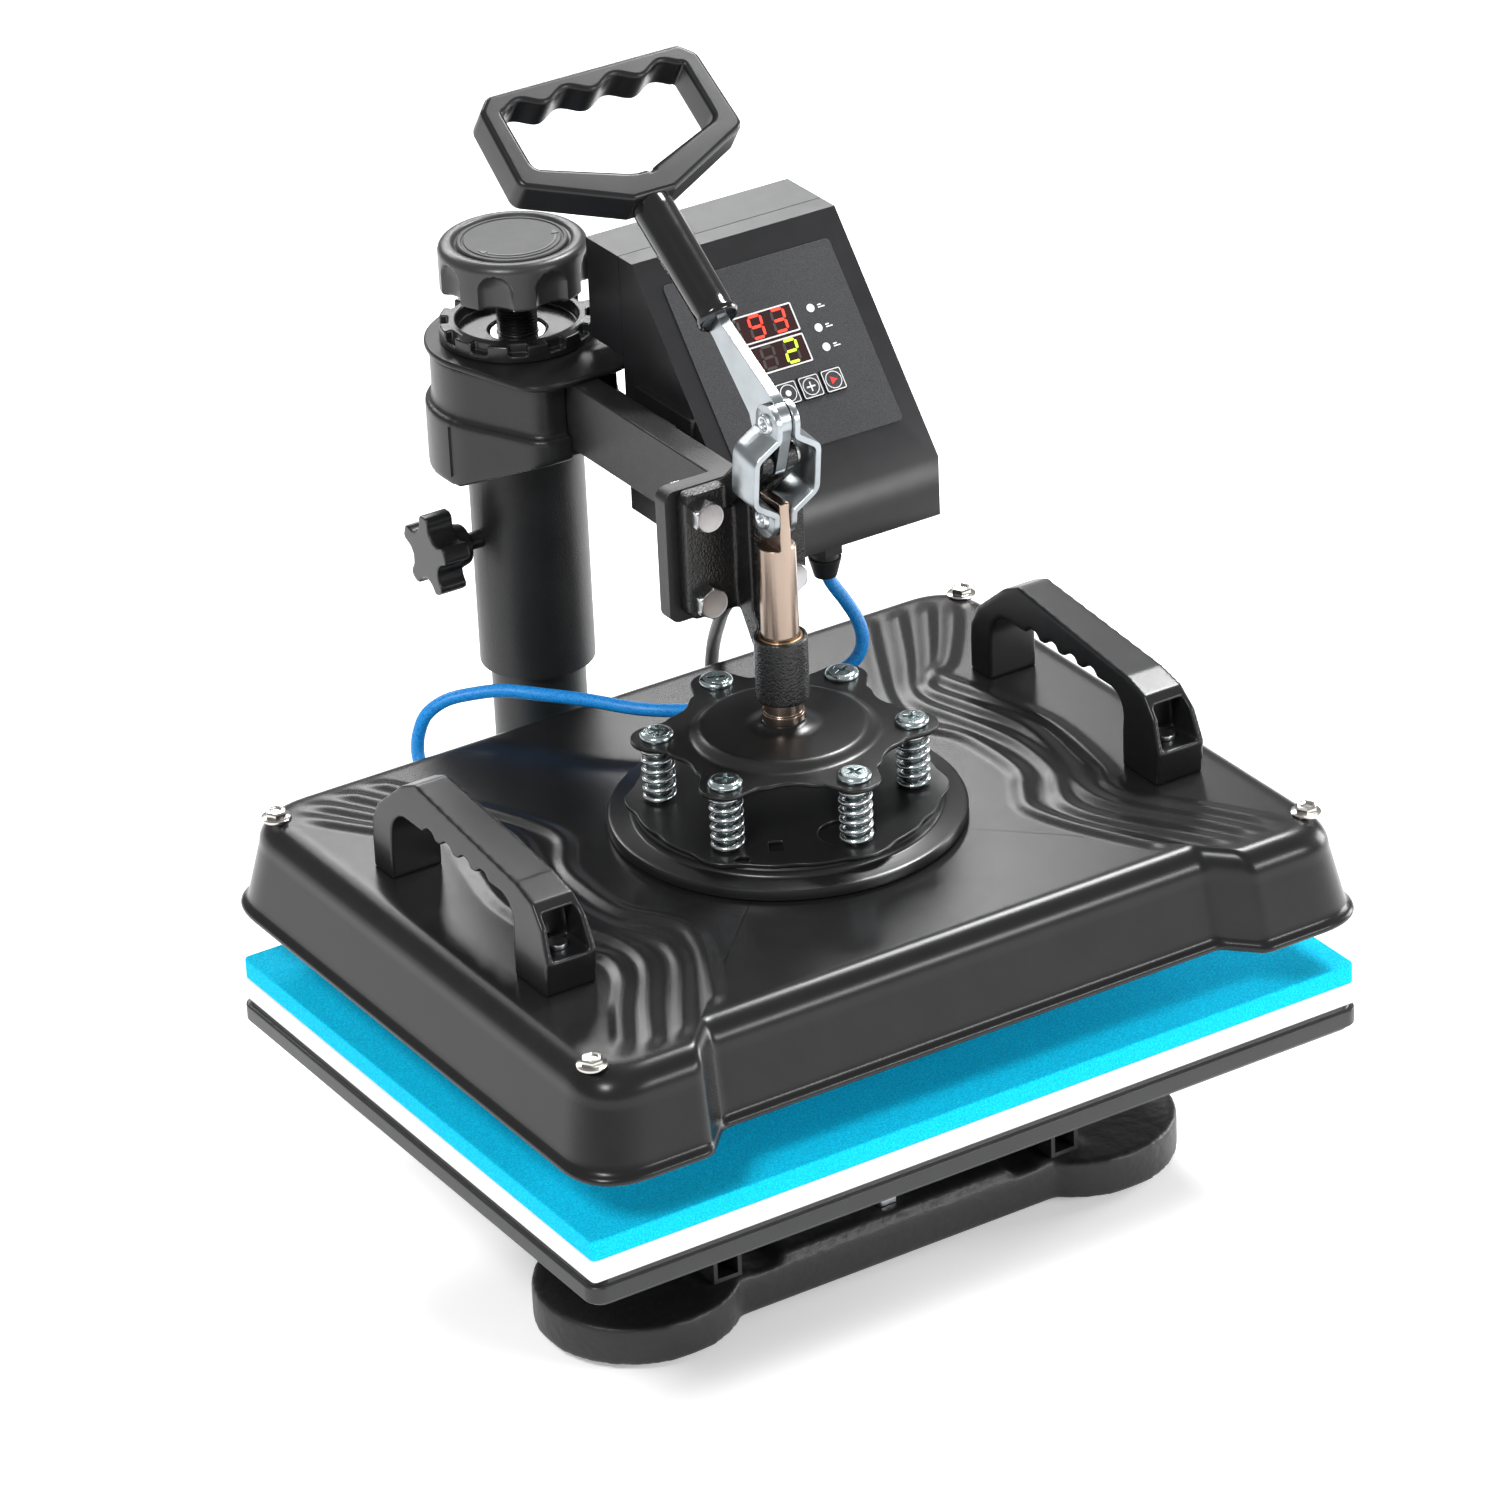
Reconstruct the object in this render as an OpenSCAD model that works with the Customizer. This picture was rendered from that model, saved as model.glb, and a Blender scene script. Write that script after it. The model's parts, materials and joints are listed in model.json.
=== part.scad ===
// Swing-away flat heat press: a heated head on six springs hangs from an arm that turns
// about a rear column, over a fixed lower platen. A lever and toggle links push the head
// down. All sizes are in millimetres. The origin lies on the table under the press shaft,
// +X points to the right of a person at the machine, +Y to the column and +Z up.

/* [Platen] */
// Width of the lower platen
platen_w = 386; // [376:1:390]
// Depth of the lower platen
platen_d = 295; // [285:1:299]
// Thickness of the lower platen plate
platen_t = 12; // [8:1:14]
// Height of the platen's underside over the table
platen_z = 84; // [80:1:88]
// Thickness of the silicone pad
pad_t = 10; // [6:0.5:11]
// Thickness of the foam sheet
foam_t = 9.4; // [5:0.2:9.6]

/* [Head] */
// Width of the pressed cover at its lower edge
cover_w = 388; // [380:1:392]
// Depth of the pressed cover at its lower edge
cover_d = 312; // [306:1:314]
// Height of the cover's flat top over the table
cover_top = 186; // [184:1:188]
// Thickness of the cover's sheet
cover_t = 2; // [1:0.5:3]
// Radius of the ring of spring screws
spring_ring_r = 54; // [52:1:56]
// Number of press springs
spring_n = 6; // [6:1:6]
// Number of turns of a press spring
spring_turns = 6; // [4:1:7]

/* [Column] */
// Distance from the press shaft back to the column
column_y = 208; // [206:1:212]
// Outer diameter of the sliding column tube
tube_od = 52; // [50:1:54]
// Outer diameter of the fixed column post
post_od = 42.5; // [40:0.5:44]

/* [Control box] */
// Width of the control box
box_w = 104; // [96:1:110]
// Number of keys under the display
key_n = 4; // [2:1:4]

/* [Feet] */
// Radius of a front foot disc
foot_r = 45; // [38:1:48]
// Distance of a front foot from the centre plane
foot_x = 113; // [105:1:120]

/* [Hidden] */

$fn = 48;

// Gap left between touching pieces that move
gap = 0.3;
// Radial clearance of a running fit
run = 0.05;

// Heights of the stacked table side
base_z = 3;
bar_z = 24;
pad_z = platen_z + platen_t;
foam_z = pad_z + pad_t;

// Base shape
foot_y = -45;
foot_h = 22;
rear_foot_r = 36;
rear_foot_x = 72;
rear_foot_y = 225;
shell_t = 5;
rail_x = 86.5;
rail_w = 14;
rail_y0 = -76;
rail_y1 = 92;
stud_r = 4;

// Column heights
post_z = 24;
post_top = 298;
tube_z0 = 179;
tube_z1 = 333;
nut_z = 304;
nut_top = 338;
post_r = post_od / 2;
tube_r = tube_od / 2;
saddle_z = 334;
saddle_t = 3;
ring_z = saddle_z + saddle_t;
ring_h = 8;
shroud_z = 309;
belt_z = 278;
clamp_z = 244;
clamp_r = 4;
knob_z = 360;
knob_h = 22;
knob_r = 33;
stem_r = 9;

// Arm beam and casting
beam_half = 6.5;
beam_z0 = 302;
beam_z1 = 334;
beam_t = 2.5;
flange_y = 40;
flange_t = 8;
casting_y = 32;
flange_z0 = 274;
flange_z1 = 335;
bolt_x = 20;
bolt_z = [285, 325];
shaft_r = 8.2;
sleeve_r = 11.5;
sleeve_z0 = 243;
sleeve_z1 = 272.5;

// Toggle linkage, in the plane x = 0: fixed pivot, crank pin and shaft pin at rest
pivot_z = 354;
crank_y = -5.7;
crank_z = 373.2;
pin_z = 328;
link_l = sqrt(pow(crank_y, 2) + pow(crank_z - pin_z, 2));
lever_t = 5;
link_t = 3;
link_in = lever_t / 2 + gap;
link_out = 13.8;
link_end_r = 8.5;
lug_r = 6.5;
lug_out = 9;

// Head heights
plate_z = cover_top - 45;
disc_t = 6;
lobe_z = cover_top + 10;
lobe_t = 2;
star_z = cover_top + 39;
star_t = 2;
spring_z0 = lobe_z + lobe_t;
spring_z1 = star_z;
spring_r = 6.2;
wire_r = 1.05;
screw_head_r = 7.7;
shaft_z0 = star_z + 8;
corner_x = 177;
corner_y = 130;
handle_x = 152;
handle_screw_y = [-63, 58];

// Control box: side profile in y and z, then its place
box_x0 = 19;
box_x1 = box_x0 + box_w;
box_y_front = 62.6;
box_y_top = 139;
box_y_back = 177;
box_z_top = 388;
box_z_chin = 296;
box_z_bottom = 268;
box_wall = 2.5;
panel_angle = atan2(box_z_top - box_z_chin, box_y_top - box_y_front);
panel_len = norm([box_z_top - box_z_chin, box_y_top - box_y_front]);
seam_y = 150;
recess_x = 36;
recess_z = 341;

// On the sloping panel, from its centre line and its lower edge
key_y = 45.5;
key_step = 11.6;
key_w = 10;
window_x = -25;
window_y = 56;
window_w = 37;
window_h = 28;
membrane_y = panel_len / 2 + 3.5;
membrane_d = panel_len - 33;

bracket_screw_y = [100, 130];
heater_gland = [70, 74];
mains_gland = [46, 100];

// Heater cable, round numbers along its route
heater_r = 3;
heater_route = [
    [70, 74, 252], [72, 72, 246], [76, 68, 238], [79, 64, 230], [80, 62, 222],
    [78, 62, 214], [72, 64, 208], [62, 68, 204], [48, 72, 201], [34, 76, 200],
    [18, 80, 199], [2, 86, 200], [-14, 98, 201], [-28, 116, 202], [-40, 134, 201],
    [-52, 148, 201], [-62, 157, 199], [-72, 164, 196], [-80, 168, 190], [-84, 169, 182],
    [-86, 168, 174], [-87, 164, 167], [-88, 160, 163]
];

// Mains lead, round numbers along its route down to the table and on to its coil
mains_r = 3.2;
mains_route = [
    [46, 100, 252], [46, 102, 244], [47, 108, 236], [49, 120, 226], [53, 134, 213],
    [58, 146, 201], [62, 156, 190], [65, 164, 178], [68, 171, 162], [71, 177, 142],
    [75, 184, 120], [80, 192, 98], [86, 200, 78], [93, 209, 60], [102, 219, 43],
    [113, 231, 28], [124, 243, 16], [134, 256, 9], [143, 270, 5], [150, 285, 4],
    [156, 300, 4], [159, 315, 4], [160, 330, 4]
];

// Coil of the lead's spare length, a turn less the further in, and the tail to the plug
coil_centre = [117, 330];
coil_out = 43;
coil_in = 30;
coil_z = 4;
coil_rise = 6.5;
tail_route = [
    [117, 373, 10.5], [108, 373, 10.5], [98, 374, 10.5], [88, 375, 10.5]
];

// ---------------------------------------------------------------- helpers

// A 2D rectangle with round corners, about its centre
module round_rect(w, d, r) {
    hull()
        for (sx = [-1, 1], sy = [-1, 1])
            translate([sx * (w / 2 - r), sy * (d / 2 - r)])
                circle(r);
}

// A plate with round corners whose top and bottom edges step in
module soft_plate(w, d, t, r, edge) {
    linear_extrude(t)
        round_rect(w - 2 * edge, d - 2 * edge, r);
    translate([0, 0, edge])
        linear_extrude(t - 2 * edge)
            round_rect(w, d, r);
}

// A hexagonal bolt head, its axis along +Z from z = 0
module hex_head(across, t) {
    cylinder(h = t, r = across / sqrt(3), $fn = 6);
}

// A point that moves along a list of points: unit direction at index i
function dir_at(p, i) =
    let (a = p[max(i - 1, 0)], b = p[min(i + 1, len(p) - 1)])
    (b - a) / norm(b - a);

// Points between the route's own points, on a smooth curve through them
function spline(p, i, t) =
    let (a = p[max(i - 1, 0)], b = p[i], c = p[i + 1], d = p[min(i + 2, len(p) - 1)])
    0.5 * (2 * b + (c - a) * t + (2 * a - 5 * b + 4 * c - d) * t * t
        + (3 * b - a - 3 * c + d) * t * t * t);
function smooth(p, n) = concat(
    [for (i = [0 : len(p) - 2], k = [0 : n - 1]) spline(p, i, k / n)],
    [p[len(p) - 1]]
);

// A tube of radius r swept along a list of points, as one closed surface
module tube(p, r, sides) {
    up = [0.31, 0.17, 0.93];
    rings = [for (i = [0 : len(p) - 1])
        let (d = dir_at(p, i), c = cross(d, up), u = c / norm(c), v = cross(d, u))
        for (k = [0 : sides - 1])
            p[i] + r * (cos(360 * k / sides) * u + sin(360 * k / sides) * v)];
    n = len(p);
    sides_faces = [for (i = [0 : n - 2], k = [0 : sides - 1])
        let (a = i * sides + k, b = i * sides + (k + 1) % sides)
        each [[a, b, b + sides], [a, b + sides, a + sides]]];
    cap0 = [[for (k = [0 : sides - 1]) sides - 1 - k]];
    cap1 = [[for (k = [0 : sides - 1]) (n - 1) * sides + k]];
    polyhedron(points = rings, faces = concat(sides_faces, cap0, cap1));
}

// ---------------------------------------------------------------- base

module base_plan() {
    for (sx = [-1, 1])
        translate([sx * foot_x, foot_y])
            circle(foot_r);
    translate([-foot_x, -77])
        square([2 * foot_x, 62]);
    translate([-34, -50])
        square([68, 290]);
    translate([-102, 58])
        square([204, 36]);
    for (sx = [-1, 1])
        translate([sx * rear_foot_x, rear_foot_y])
            circle(rear_foot_r);
    translate([-rear_foot_x, 198])
        square([2 * rear_foot_x, 54]);
}

module base_frame() {
    color([0.12, 0.12, 0.13])
        difference() {
            union() {
                translate([0, 0, base_z])
                    linear_extrude(foot_h - base_z)
                        base_plan();
                translate([-58, -74, base_z])
                    cube([116, 52, bar_z + 2 - base_z]);
                for (sx = [-1, 1], y = [-74, 62])
                    translate([sx * rail_x - 12, y, base_z])
                        cube([24, 28, bar_z - base_z]);
                translate([0, column_y, base_z])
                    cylinder(h = post_z - base_z, r = 43);
            }
            // Hollow underside, with solid bosses left under the column, rails and studs
            translate([0, 0, base_z - 1])
                linear_extrude(foot_h - base_z - shell_t + 1)
                    difference() {
                        offset(delta = -shell_t)
                            base_plan();
                        translate([0, column_y])
                            circle(40);
                        for (sx = [-1, 1], y = [-60, 76])
                            translate([sx * rail_x, y])
                                circle(9);
                        for (y = [-62, 76])
                            translate([0, y])
                                circle(11);
                        circle(18);
                        for (sx = [-1, 1]) {
                            translate([sx * foot_x, foot_y])
                                circle(14);
                            translate([sx * rear_foot_x, rear_foot_y])
                                circle(12);
                        }
                    }
            for (sx = [-1, 1], y = [-60, 76])
                translate([sx * rail_x, y, 8])
                    cylinder(h = 30, r = 3.1);
            for (y = [-62, 76])
                translate([0, y, 10])
                    cylinder(h = 30, r = stud_r + 0.1);
            for (a = [45 : 90 : 315])
                translate([31 * cos(a), column_y + 31 * sin(a), 8])
                    cylinder(h = 30, r = 4.1);
        }
}

module rubber_feet() {
    color([0.05, 0.05, 0.05]) {
        for (sx = [-1, 1]) {
            translate([sx * foot_x, foot_y, 0])
                cylinder(h = base_z, r1 = 12, r2 = 13, $fn = 48);
            translate([sx * rear_foot_x, rear_foot_y, 0])
                cylinder(h = base_z, r1 = 10, r2 = 11, $fn = 48);
        }
        cylinder(h = base_z, r = 16);
    }
}

module support_rails() {
    color([0.1, 0.1, 0.11])
        for (sx = [-1, 1])
            translate([sx * rail_x, 0, 0])
                difference() {
                    translate([-rail_w / 2, rail_y0, bar_z])
                        cube([rail_w, rail_y1 - rail_y0, platen_z - bar_z]);
                    translate([-rail_w / 2 + 2, rail_y0 - 1, bar_z + 2])
                        cube([rail_w - 4, rail_y1 - rail_y0 + 2, platen_z]);
                    for (y = [-60, 76])
                        translate([0, y, bar_z - 1])
                            cylinder(h = 4, r = 3.1);
                }
}

module rail_screws() {
    color("silver")
        for (sx = [-1, 1], y = [-60, 76])
            translate([sx * rail_x, y, 0]) {
                translate([0, 0, 10])
                    cylinder(h = bar_z - 7, r = 3);
                translate([0, 0, bar_z + 2])
                    cylinder(h = 3, r = 4.6);
            }
}

module platen_studs() {
    color("silver")
        for (y = [-62, 76]) {
            translate([0, y, 12])
                cylinder(h = platen_z - 12, r = stud_r);
            translate([0, y, y < 0 ? bar_z + 2 : foot_h])
                hex_head(13, 6);
            translate([0, y, platen_z - 6])
                hex_head(13, 6);
        }
}

module lower_platen() {
    color([0.1, 0.1, 0.1])
        translate([0, 0, platen_z])
            soft_plate(platen_w, platen_d, platen_t, 7, 2);
}

module silicone_pad() {
    color("ivory")
        translate([0, 0, pad_z])
            linear_extrude(pad_t)
                round_rect(platen_w - 3, platen_d - 3, 3);
}

module foam_sheet() {
    color([0, 0.62, 0.85])
        translate([0, 0, foam_z])
            linear_extrude(foam_t)
                round_rect(platen_w - 4, platen_d - 4, 2.5);
}

module column_post() {
    color([0.08, 0.08, 0.08])
        difference() {
            union() {
                translate([0, column_y, post_z])
                    cylinder(h = post_top - post_z, r = post_r);
                translate([0, column_y, post_z])
                    cylinder(h = 6, r = 40);
            }
            translate([0, column_y, post_z - 1])
                cylinder(h = post_top - post_z + 2, r = post_r - 2.5);
            for (a = [45 : 90 : 315])
                translate([31 * cos(a), column_y + 31 * sin(a), post_z - 1])
                    cylinder(h = 8, r = 4.1);
        }
}

module post_bolts() {
    color("silver")
        for (a = [45 : 90 : 315])
            translate([31 * cos(a), column_y + 31 * sin(a), 0]) {
                translate([0, 0, 12])
                    cylinder(h = post_z - 6, r = 4);
                translate([0, 0, post_z + 6])
                    hex_head(13, 5);
            }
}

// Plug in the post's top that carries the end of the pressure stem
module post_cap() {
    color("dimgray")
        translate([0, column_y, post_top - 14])
            cylinder(h = 14, r = post_r - 2.5);
}

// ---------------------------------------------------------------- pressure knob

module pressure_stem() {
    color([0.05, 0.05, 0.05])
        translate([0, column_y, post_top + 0.1])
            cylinder(h = knob_z + 10 - post_top, r = stem_r);
}

module pressure_knob() {
    color([0.15, 0.15, 0.15])
        translate([0, column_y, knob_z])
            difference() {
                union() {
                    translate([0, 0, -6])
                        cylinder(h = 7, r1 = 11.5, r2 = 16);
                    cylinder(h = knob_h - 2, r = knob_r);
                    translate([0, 0, knob_h - 2])
                        cylinder(h = 2, r1 = knob_r, r2 = knob_r - 3);
                }
                for (a = [0 : 45 : 315])
                    rotate([0, 0, a])
                        translate([knob_r + 3.4, 0, -7])
                            cylinder(h = knob_h + 8, r = 7);
                translate([0, 0, -7])
                    cylinder(h = 17.1, r = stem_r);
                translate([0, 0, knob_h - 1.6])
                    cylinder(h = 3, r = 24.6);
            }
}

module knob_badge() {
    color([0.2, 0.2, 0.2])
        translate([0, column_y, knob_z + knob_h - 1.6])
            cylinder(h = 1.8, r = 24.4);
}

module lift_nut() {
    color("gainsboro")
        translate([0, column_y, nut_z])
            difference() {
                union() {
                    cylinder(h = nut_top - nut_z, r = 12.4);
                    cylinder(h = 6, r = 20);
                }
                translate([0, 0, -1])
                    cylinder(h = 60, r = stem_r + run);
            }
}

module thrust_washer() {
    color("silver")
        translate([0, column_y, nut_z + 6])
            difference() {
                cylinder(h = 2, r = 20);
                translate([0, 0, -1])
                    cylinder(h = 4, r = 12.6);
            }
}

// ---------------------------------------------------------------- arm

module outer_tube() {
    color([0.12, 0.12, 0.12])
        translate([0, column_y, 0])
            difference() {
                translate([0, 0, tube_z0])
                    cylinder(h = tube_z1 - tube_z0, r = tube_r);
                translate([0, 0, tube_z0 - 1])
                    cylinder(h = nut_z + 9 - tube_z0, r = post_r + run);
                translate([0, 0, nut_z])
                    cylinder(h = 60, r = 12.45);
                translate([-tube_r - 1, 0, clamp_z])
                    rotate([0, 90, 0])
                        cylinder(h = 10, r = 4.1);
            }
}

// Plan of the column's moulded shroud: round at the column, drawn forward to the beam
module shroud_plan(r, nose_r) {
    hull() {
        circle(r, $fn = 96);
        for (sx = [-1, 1])
            translate([sx * 14, 166 - column_y])
                circle(nose_r);
    }
}

// Upper shroud and the wider belt under it, whose lower edge rises towards the beam
module column_shroud() {
    color([0.1, 0.1, 0.1])
        translate([0, column_y, 0])
            difference() {
                union() {
                    translate([0, 0, shroud_z])
                        linear_extrude(saddle_z - shroud_z)
                            shroud_plan(39.5, 9);
                    difference() {
                        translate([0, 0, belt_z])
                            linear_extrude(shroud_z - belt_z)
                                shroud_plan(42.7, 12);
                        translate([0, -12, belt_z])
                            rotate([-25, 0, 0])
                                translate([-60, -80, -60])
                                    cube([120, 80, 60]);
                    }
                }
                translate([0, 0, belt_z - 1])
                    cylinder(h = 80, r = tube_r + 0.1);
                translate([-beam_half - 0.1, -80, beam_z0 - 30])
                    cube([2 * beam_half + 0.2, 80, 80]);
            }
}

module saddle_cap() {
    color([0.13, 0.13, 0.13])
        translate([0, column_y, saddle_z])
            difference() {
                linear_extrude(saddle_t)
                    shroud_plan(41.5, 16);
                translate([0, 0, -1])
                    cylinder(h = saddle_t + 2, r = 12.6);
            }
}

module lock_ring() {
    color([0.1, 0.1, 0.1])
        translate([0, column_y, ring_z + 0.1])
            difference() {
                cylinder(h = ring_h, r = 34.5);
                translate([0, 0, 2])
                    cylinder(h = ring_h, r = 27);
                translate([0, 0, -1])
                    cylinder(h = 5, r = 13);
                for (a = [0 : 30 : 330])
                    rotate([0, 0, a])
                        translate([30.5, -4, 3.5])
                            cube([8, 8, 8]);
            }
}

// Plan of the clamp knob: five round lobes with a scoop between each two
module clamp_plan() {
    offset(r = 2.5)
        offset(delta = -2.5)
            difference() {
                circle(18.8);
                for (a = [36 : 72 : 324])
                    rotate(a)
                        translate([18.5, 0])
                            circle(7);
            }
}

// Five-lobed clamp knob and the steel stud moulded into it
module clamp_knob() {
    color([0.1, 0.1, 0.1])
        translate([-tube_r - 8, column_y, clamp_z])
            rotate([0, -90, 0])
                difference() {
                    union() {
                        cylinder(h = 7.5, r1 = 9, r2 = 11);
                        translate([0, 0, 7])
                            linear_extrude(13)
                                clamp_plan();
                    }
                    translate([0, 0, -1])
                        cylinder(h = 13.2, r = clamp_r + run);
                }
    color("silver")
        translate([-tube_r - 8 - 12, column_y, clamp_z])
            rotate([0, 90, 0])
                cylinder(h = 24, r = clamp_r);
}

module arm_beam() {
    color([0.12, 0.12, 0.12])
        difference() {
            translate([-beam_half, flange_y, beam_z0])
                cube([2 * beam_half, column_y - flange_y, beam_z1 - beam_z0]);
            translate([-beam_half + beam_t, flange_y - 1, beam_z0 + beam_t])
                cube([2 * (beam_half - beam_t), column_y, beam_z1 - beam_z0 - 2 * beam_t]);
            translate([0, column_y, beam_z0 - 1])
                cylinder(h = beam_z1, r = tube_r);
        }
}

module beam_flange() {
    color([0.08, 0.08, 0.08])
        difference() {
            translate([0, flange_y, (flange_z0 + flange_z1) / 2])
                rotate([90, 0, 0])
                    linear_extrude(flange_t)
                        round_rect(68, flange_z1 - flange_z0, 5);
            for (sx = [-1, 1], z = bolt_z)
                translate([sx * bolt_x, flange_y + 1, z])
                    rotate([90, 0, 0])
                        cylinder(h = flange_t + 2, r = 4.2);
        }
}

// One side plate of the fork around the lever's pivot, in the y-z plane
module fork_plan() {
    hull() {
        translate([0, pivot_z])
            circle(lug_r);
        translate([casting_y - 8, 325])
            square([8, 8]);
    }
}

module head_casting() {
    color([0.06, 0.06, 0.06])
        difference() {
            union() {
                translate([0, casting_y, (277 + flange_z1) / 2])
                    rotate([90, 0, 0])
                        linear_extrude(8)
                            round_rect(58, flange_z1 - 277, 5);
                // Web that carries the sleeve
                rotate([90, 0, 90])
                    translate([0, 0, -5])
                        linear_extrude(10)
                            polygon([
                                [8, sleeve_z0], [12, sleeve_z0], [14, 262],
                                [casting_y - 4, 284], [casting_y - 4, 334], [13, 334], [13, 280], [8, 272]
                            ]);
                translate([0, 0, sleeve_z0])
                    cylinder(h = sleeve_z1 - sleeve_z0, r = sleeve_r);
                // Fork lugs on either side of the lever
                for (sx = [0, 1])
                    mirror([sx, 0, 0])
                        rotate([90, 0, 90])
                            translate([0, 0, lever_t / 2 + gap])
                                linear_extrude(lug_out - lever_t / 2 - gap)
                                    fork_plan();
            }
            translate([0, 0, sleeve_z0 - 1])
                cylinder(h = pin_z + 12 - sleeve_z0, r = sleeve_r - 2);
            translate([-20, 0, pivot_z])
                rotate([0, 90, 0])
                    cylinder(h = 40, r = 3.5 + run);
            for (sx = [-1, 1], z = bolt_z)
                translate([sx * bolt_x, casting_y + 1, z])
                    rotate([90, 0, 0])
                        cylinder(h = 12, r = 4.2);
        }
}

module head_bolts() {
    color("silver")
        for (sx = [-1, 1], z = bolt_z)
            translate([sx * bolt_x, casting_y - 8, z])
                rotate([90, 0, 0]) {
                    hex_head(13, 5.5);
                    translate([0, 0, -24])
                        cylinder(h = 24.5, r = 4);
                    translate([0, 0, -22.5])
                        hex_head(13, 6.4);
                }
}

// Plain bearing in the sleeve that guides the press shaft
module shaft_bushes() {
    color("peru")
        translate([0, 0, sleeve_z0])
            difference() {
                cylinder(h = sleeve_z1 - sleeve_z0, r = sleeve_r - 2);
                translate([0, 0, -1])
                    cylinder(h = sleeve_z1 - sleeve_z0 + 2, r = shaft_r + run);
            }
}

module pivot_pin() {
    color("silver")
        translate([0, 0, pivot_z])
            rotate([0, 90, 0]) {
                translate([0, 0, -lug_out - 2])
                    cylinder(h = 2 * (lug_out + 2), r = 3.5);
                for (sx = [0, 1])
                    mirror([0, 0, sx])
                        translate([0, 0, lug_out])
                            cylinder(h = 2, r = 5);
            }
}

// ---------------------------------------------------------------- lever and links

bar_end = [35, 399.5];
grip_start = [37, 403.5];
grip_dir = [52, 35.6] / norm([52, 35.6]);
grip_len = 63;
grip_angle = atan2(grip_dir[1], grip_dir[0]);

module lever_bar() {
    color("gainsboro")
        difference() {
            rotate([90, 0, 90])
                translate([0, 0, -lever_t / 2])
                    linear_extrude(lever_t) {
                        hull() {
                            translate([0, pivot_z])
                                circle(7);
                            translate([crank_y + 2, crank_z])
                                circle(9);
                            translate([5, crank_z + 2])
                                circle(9);
                        }
                        hull() {
                            translate([2, crank_z + 2])
                                circle(11);
                            translate(bar_end)
                                circle(5.5);
                        }
                        hull() {
                            translate(bar_end)
                                circle(5.5);
                            translate(grip_start + 30 * grip_dir)
                                circle(5);
                        }
                    }
            translate([-10, 0, pivot_z])
                rotate([0, 90, 0])
                    cylinder(h = 20, r = 3.5 + run);
        }
}

// Turns +Z onto the lever's grip, from the grip's lower end
module at_grip() {
    translate([0, grip_start[0], grip_start[1]])
        rotate([grip_angle - 90, 0, 0])
            children();
}

module lever_grip() {
    color([0.03, 0.03, 0.03])
        difference() {
            at_grip()
                cylinder(h = grip_len - 1, r = 9);
            at_grip()
                translate([0, 0, -1])
                    intersection() {
                        cylinder(h = 42, r = 8.2);
                        translate([-lever_t / 2, -8, 0])
                            cube([lever_t, 16, 42]);
                    }
        }
}

handle_t = 17;
module handle_outline() {
    polygon([
        [-11, 0], [11, 0], [55, 20], [53, 61], [47, 66], [-47, 66], [-53, 61], [-55, 20]
    ]);
}

module lever_handle() {
    color([0.08, 0.08, 0.08])
        at_grip()
            translate([0, 0, grip_len - 1])
                rotate([90, 0, 0])
                    translate([0, 0, -handle_t / 2])
                        linear_extrude(handle_t)
                            difference() {
                                handle_outline();
                                polygon([
                                    [-5, 12.5], [5, 12.5], [44, 27], [44, 56], [-44, 56],
                                    [-44, 27]
                                ]);
                                for (x = [-35 : 23.3 : 35])
                                    translate([x, 51])
                                        circle(9);
                            }
}

// Side view of one toggle link: its strip runs from the crank pin down to the shaft pin
link_angle = asin(-crank_y / link_l);
module at_link() {
    translate([0, crank_y, crank_z])
        rotate([link_angle, 0, 0])
            children();
}

module link_strip() {
    a = link_in;
    b = link_out;
    s0 = 6.5;
    s1 = 11;
    outer = [
        [a + link_t, link_end_r], [a + link_t, -s0], [b + link_t, -s1 - 1],
        [b + link_t, -link_l + s1 + 1], [a + link_t, -link_l + s0], [a + link_t, -link_l - link_end_r]
    ];
    inner = [
        [a, -link_l - link_end_r], [a, -link_l + s0 + 1], [b, -link_l + s1 + 2],
        [b, -s1 - 2], [a, -s0 - 1], [a, link_end_r]
    ];
    intersection() {
        rotate([90, 0, 0])
            translate([0, 0, -link_end_r])
                linear_extrude(2 * link_end_r)
                    polygon(concat(outer, inner));
        rotate([90, 0, 90])
            linear_extrude(40)
                hull() {
                    circle(link_end_r);
                    translate([0, -link_l])
                        circle(link_end_r);
                }
    }
}

module link_plates() {
    color("gainsboro")
        for (sx = [0, 1])
            mirror([sx, 0, 0])
                at_link()
                    link_strip();
}

module link_rivets() {
    color("silver")
        for (sx = [0, 1], s = [0, link_l])
            mirror([sx, 0, 0])
                at_link()
                    translate([link_in + link_t, 0, -s])
                        rotate([0, 90, 0])
                            difference() {
                                cylinder(h = 2.2, r = 4.2);
                                translate([0, 0, 1])
                                    cylinder(h = 2, r = 2.4);
                            }
}

// ---------------------------------------------------------------- plunger

module press_shaft() {
    color("peru")
        difference() {
            union() {
                translate([0, 0, shaft_z0])
                    cylinder(h = pin_z + 8 - shaft_z0, r = shaft_r);
                translate([0, 0, shaft_z0])
                    cylinder(h = 4, r = 9.2);
            }
            // Flats that leave a tongue between the links
            for (sx = [0, 1])
                mirror([sx, 0, 0])
                    translate([lever_t / 2, -20, pin_z - 13.5])
                        cube([20, 40, 40]);
        }
}

module star_plan() {
    difference() {
        union() {
            circle(52);
            for (i = [0 : spring_n - 1])
                rotate([0, 0, 30 + 360 / spring_n * i])
                    translate([spring_ring_r, 0])
                        circle(11.5);
        }
        for (i = [0 : spring_n - 1])
            rotate([0, 0, 360 / spring_n * i])
                translate([66, 0])
                    circle(18);
    }
}

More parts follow.
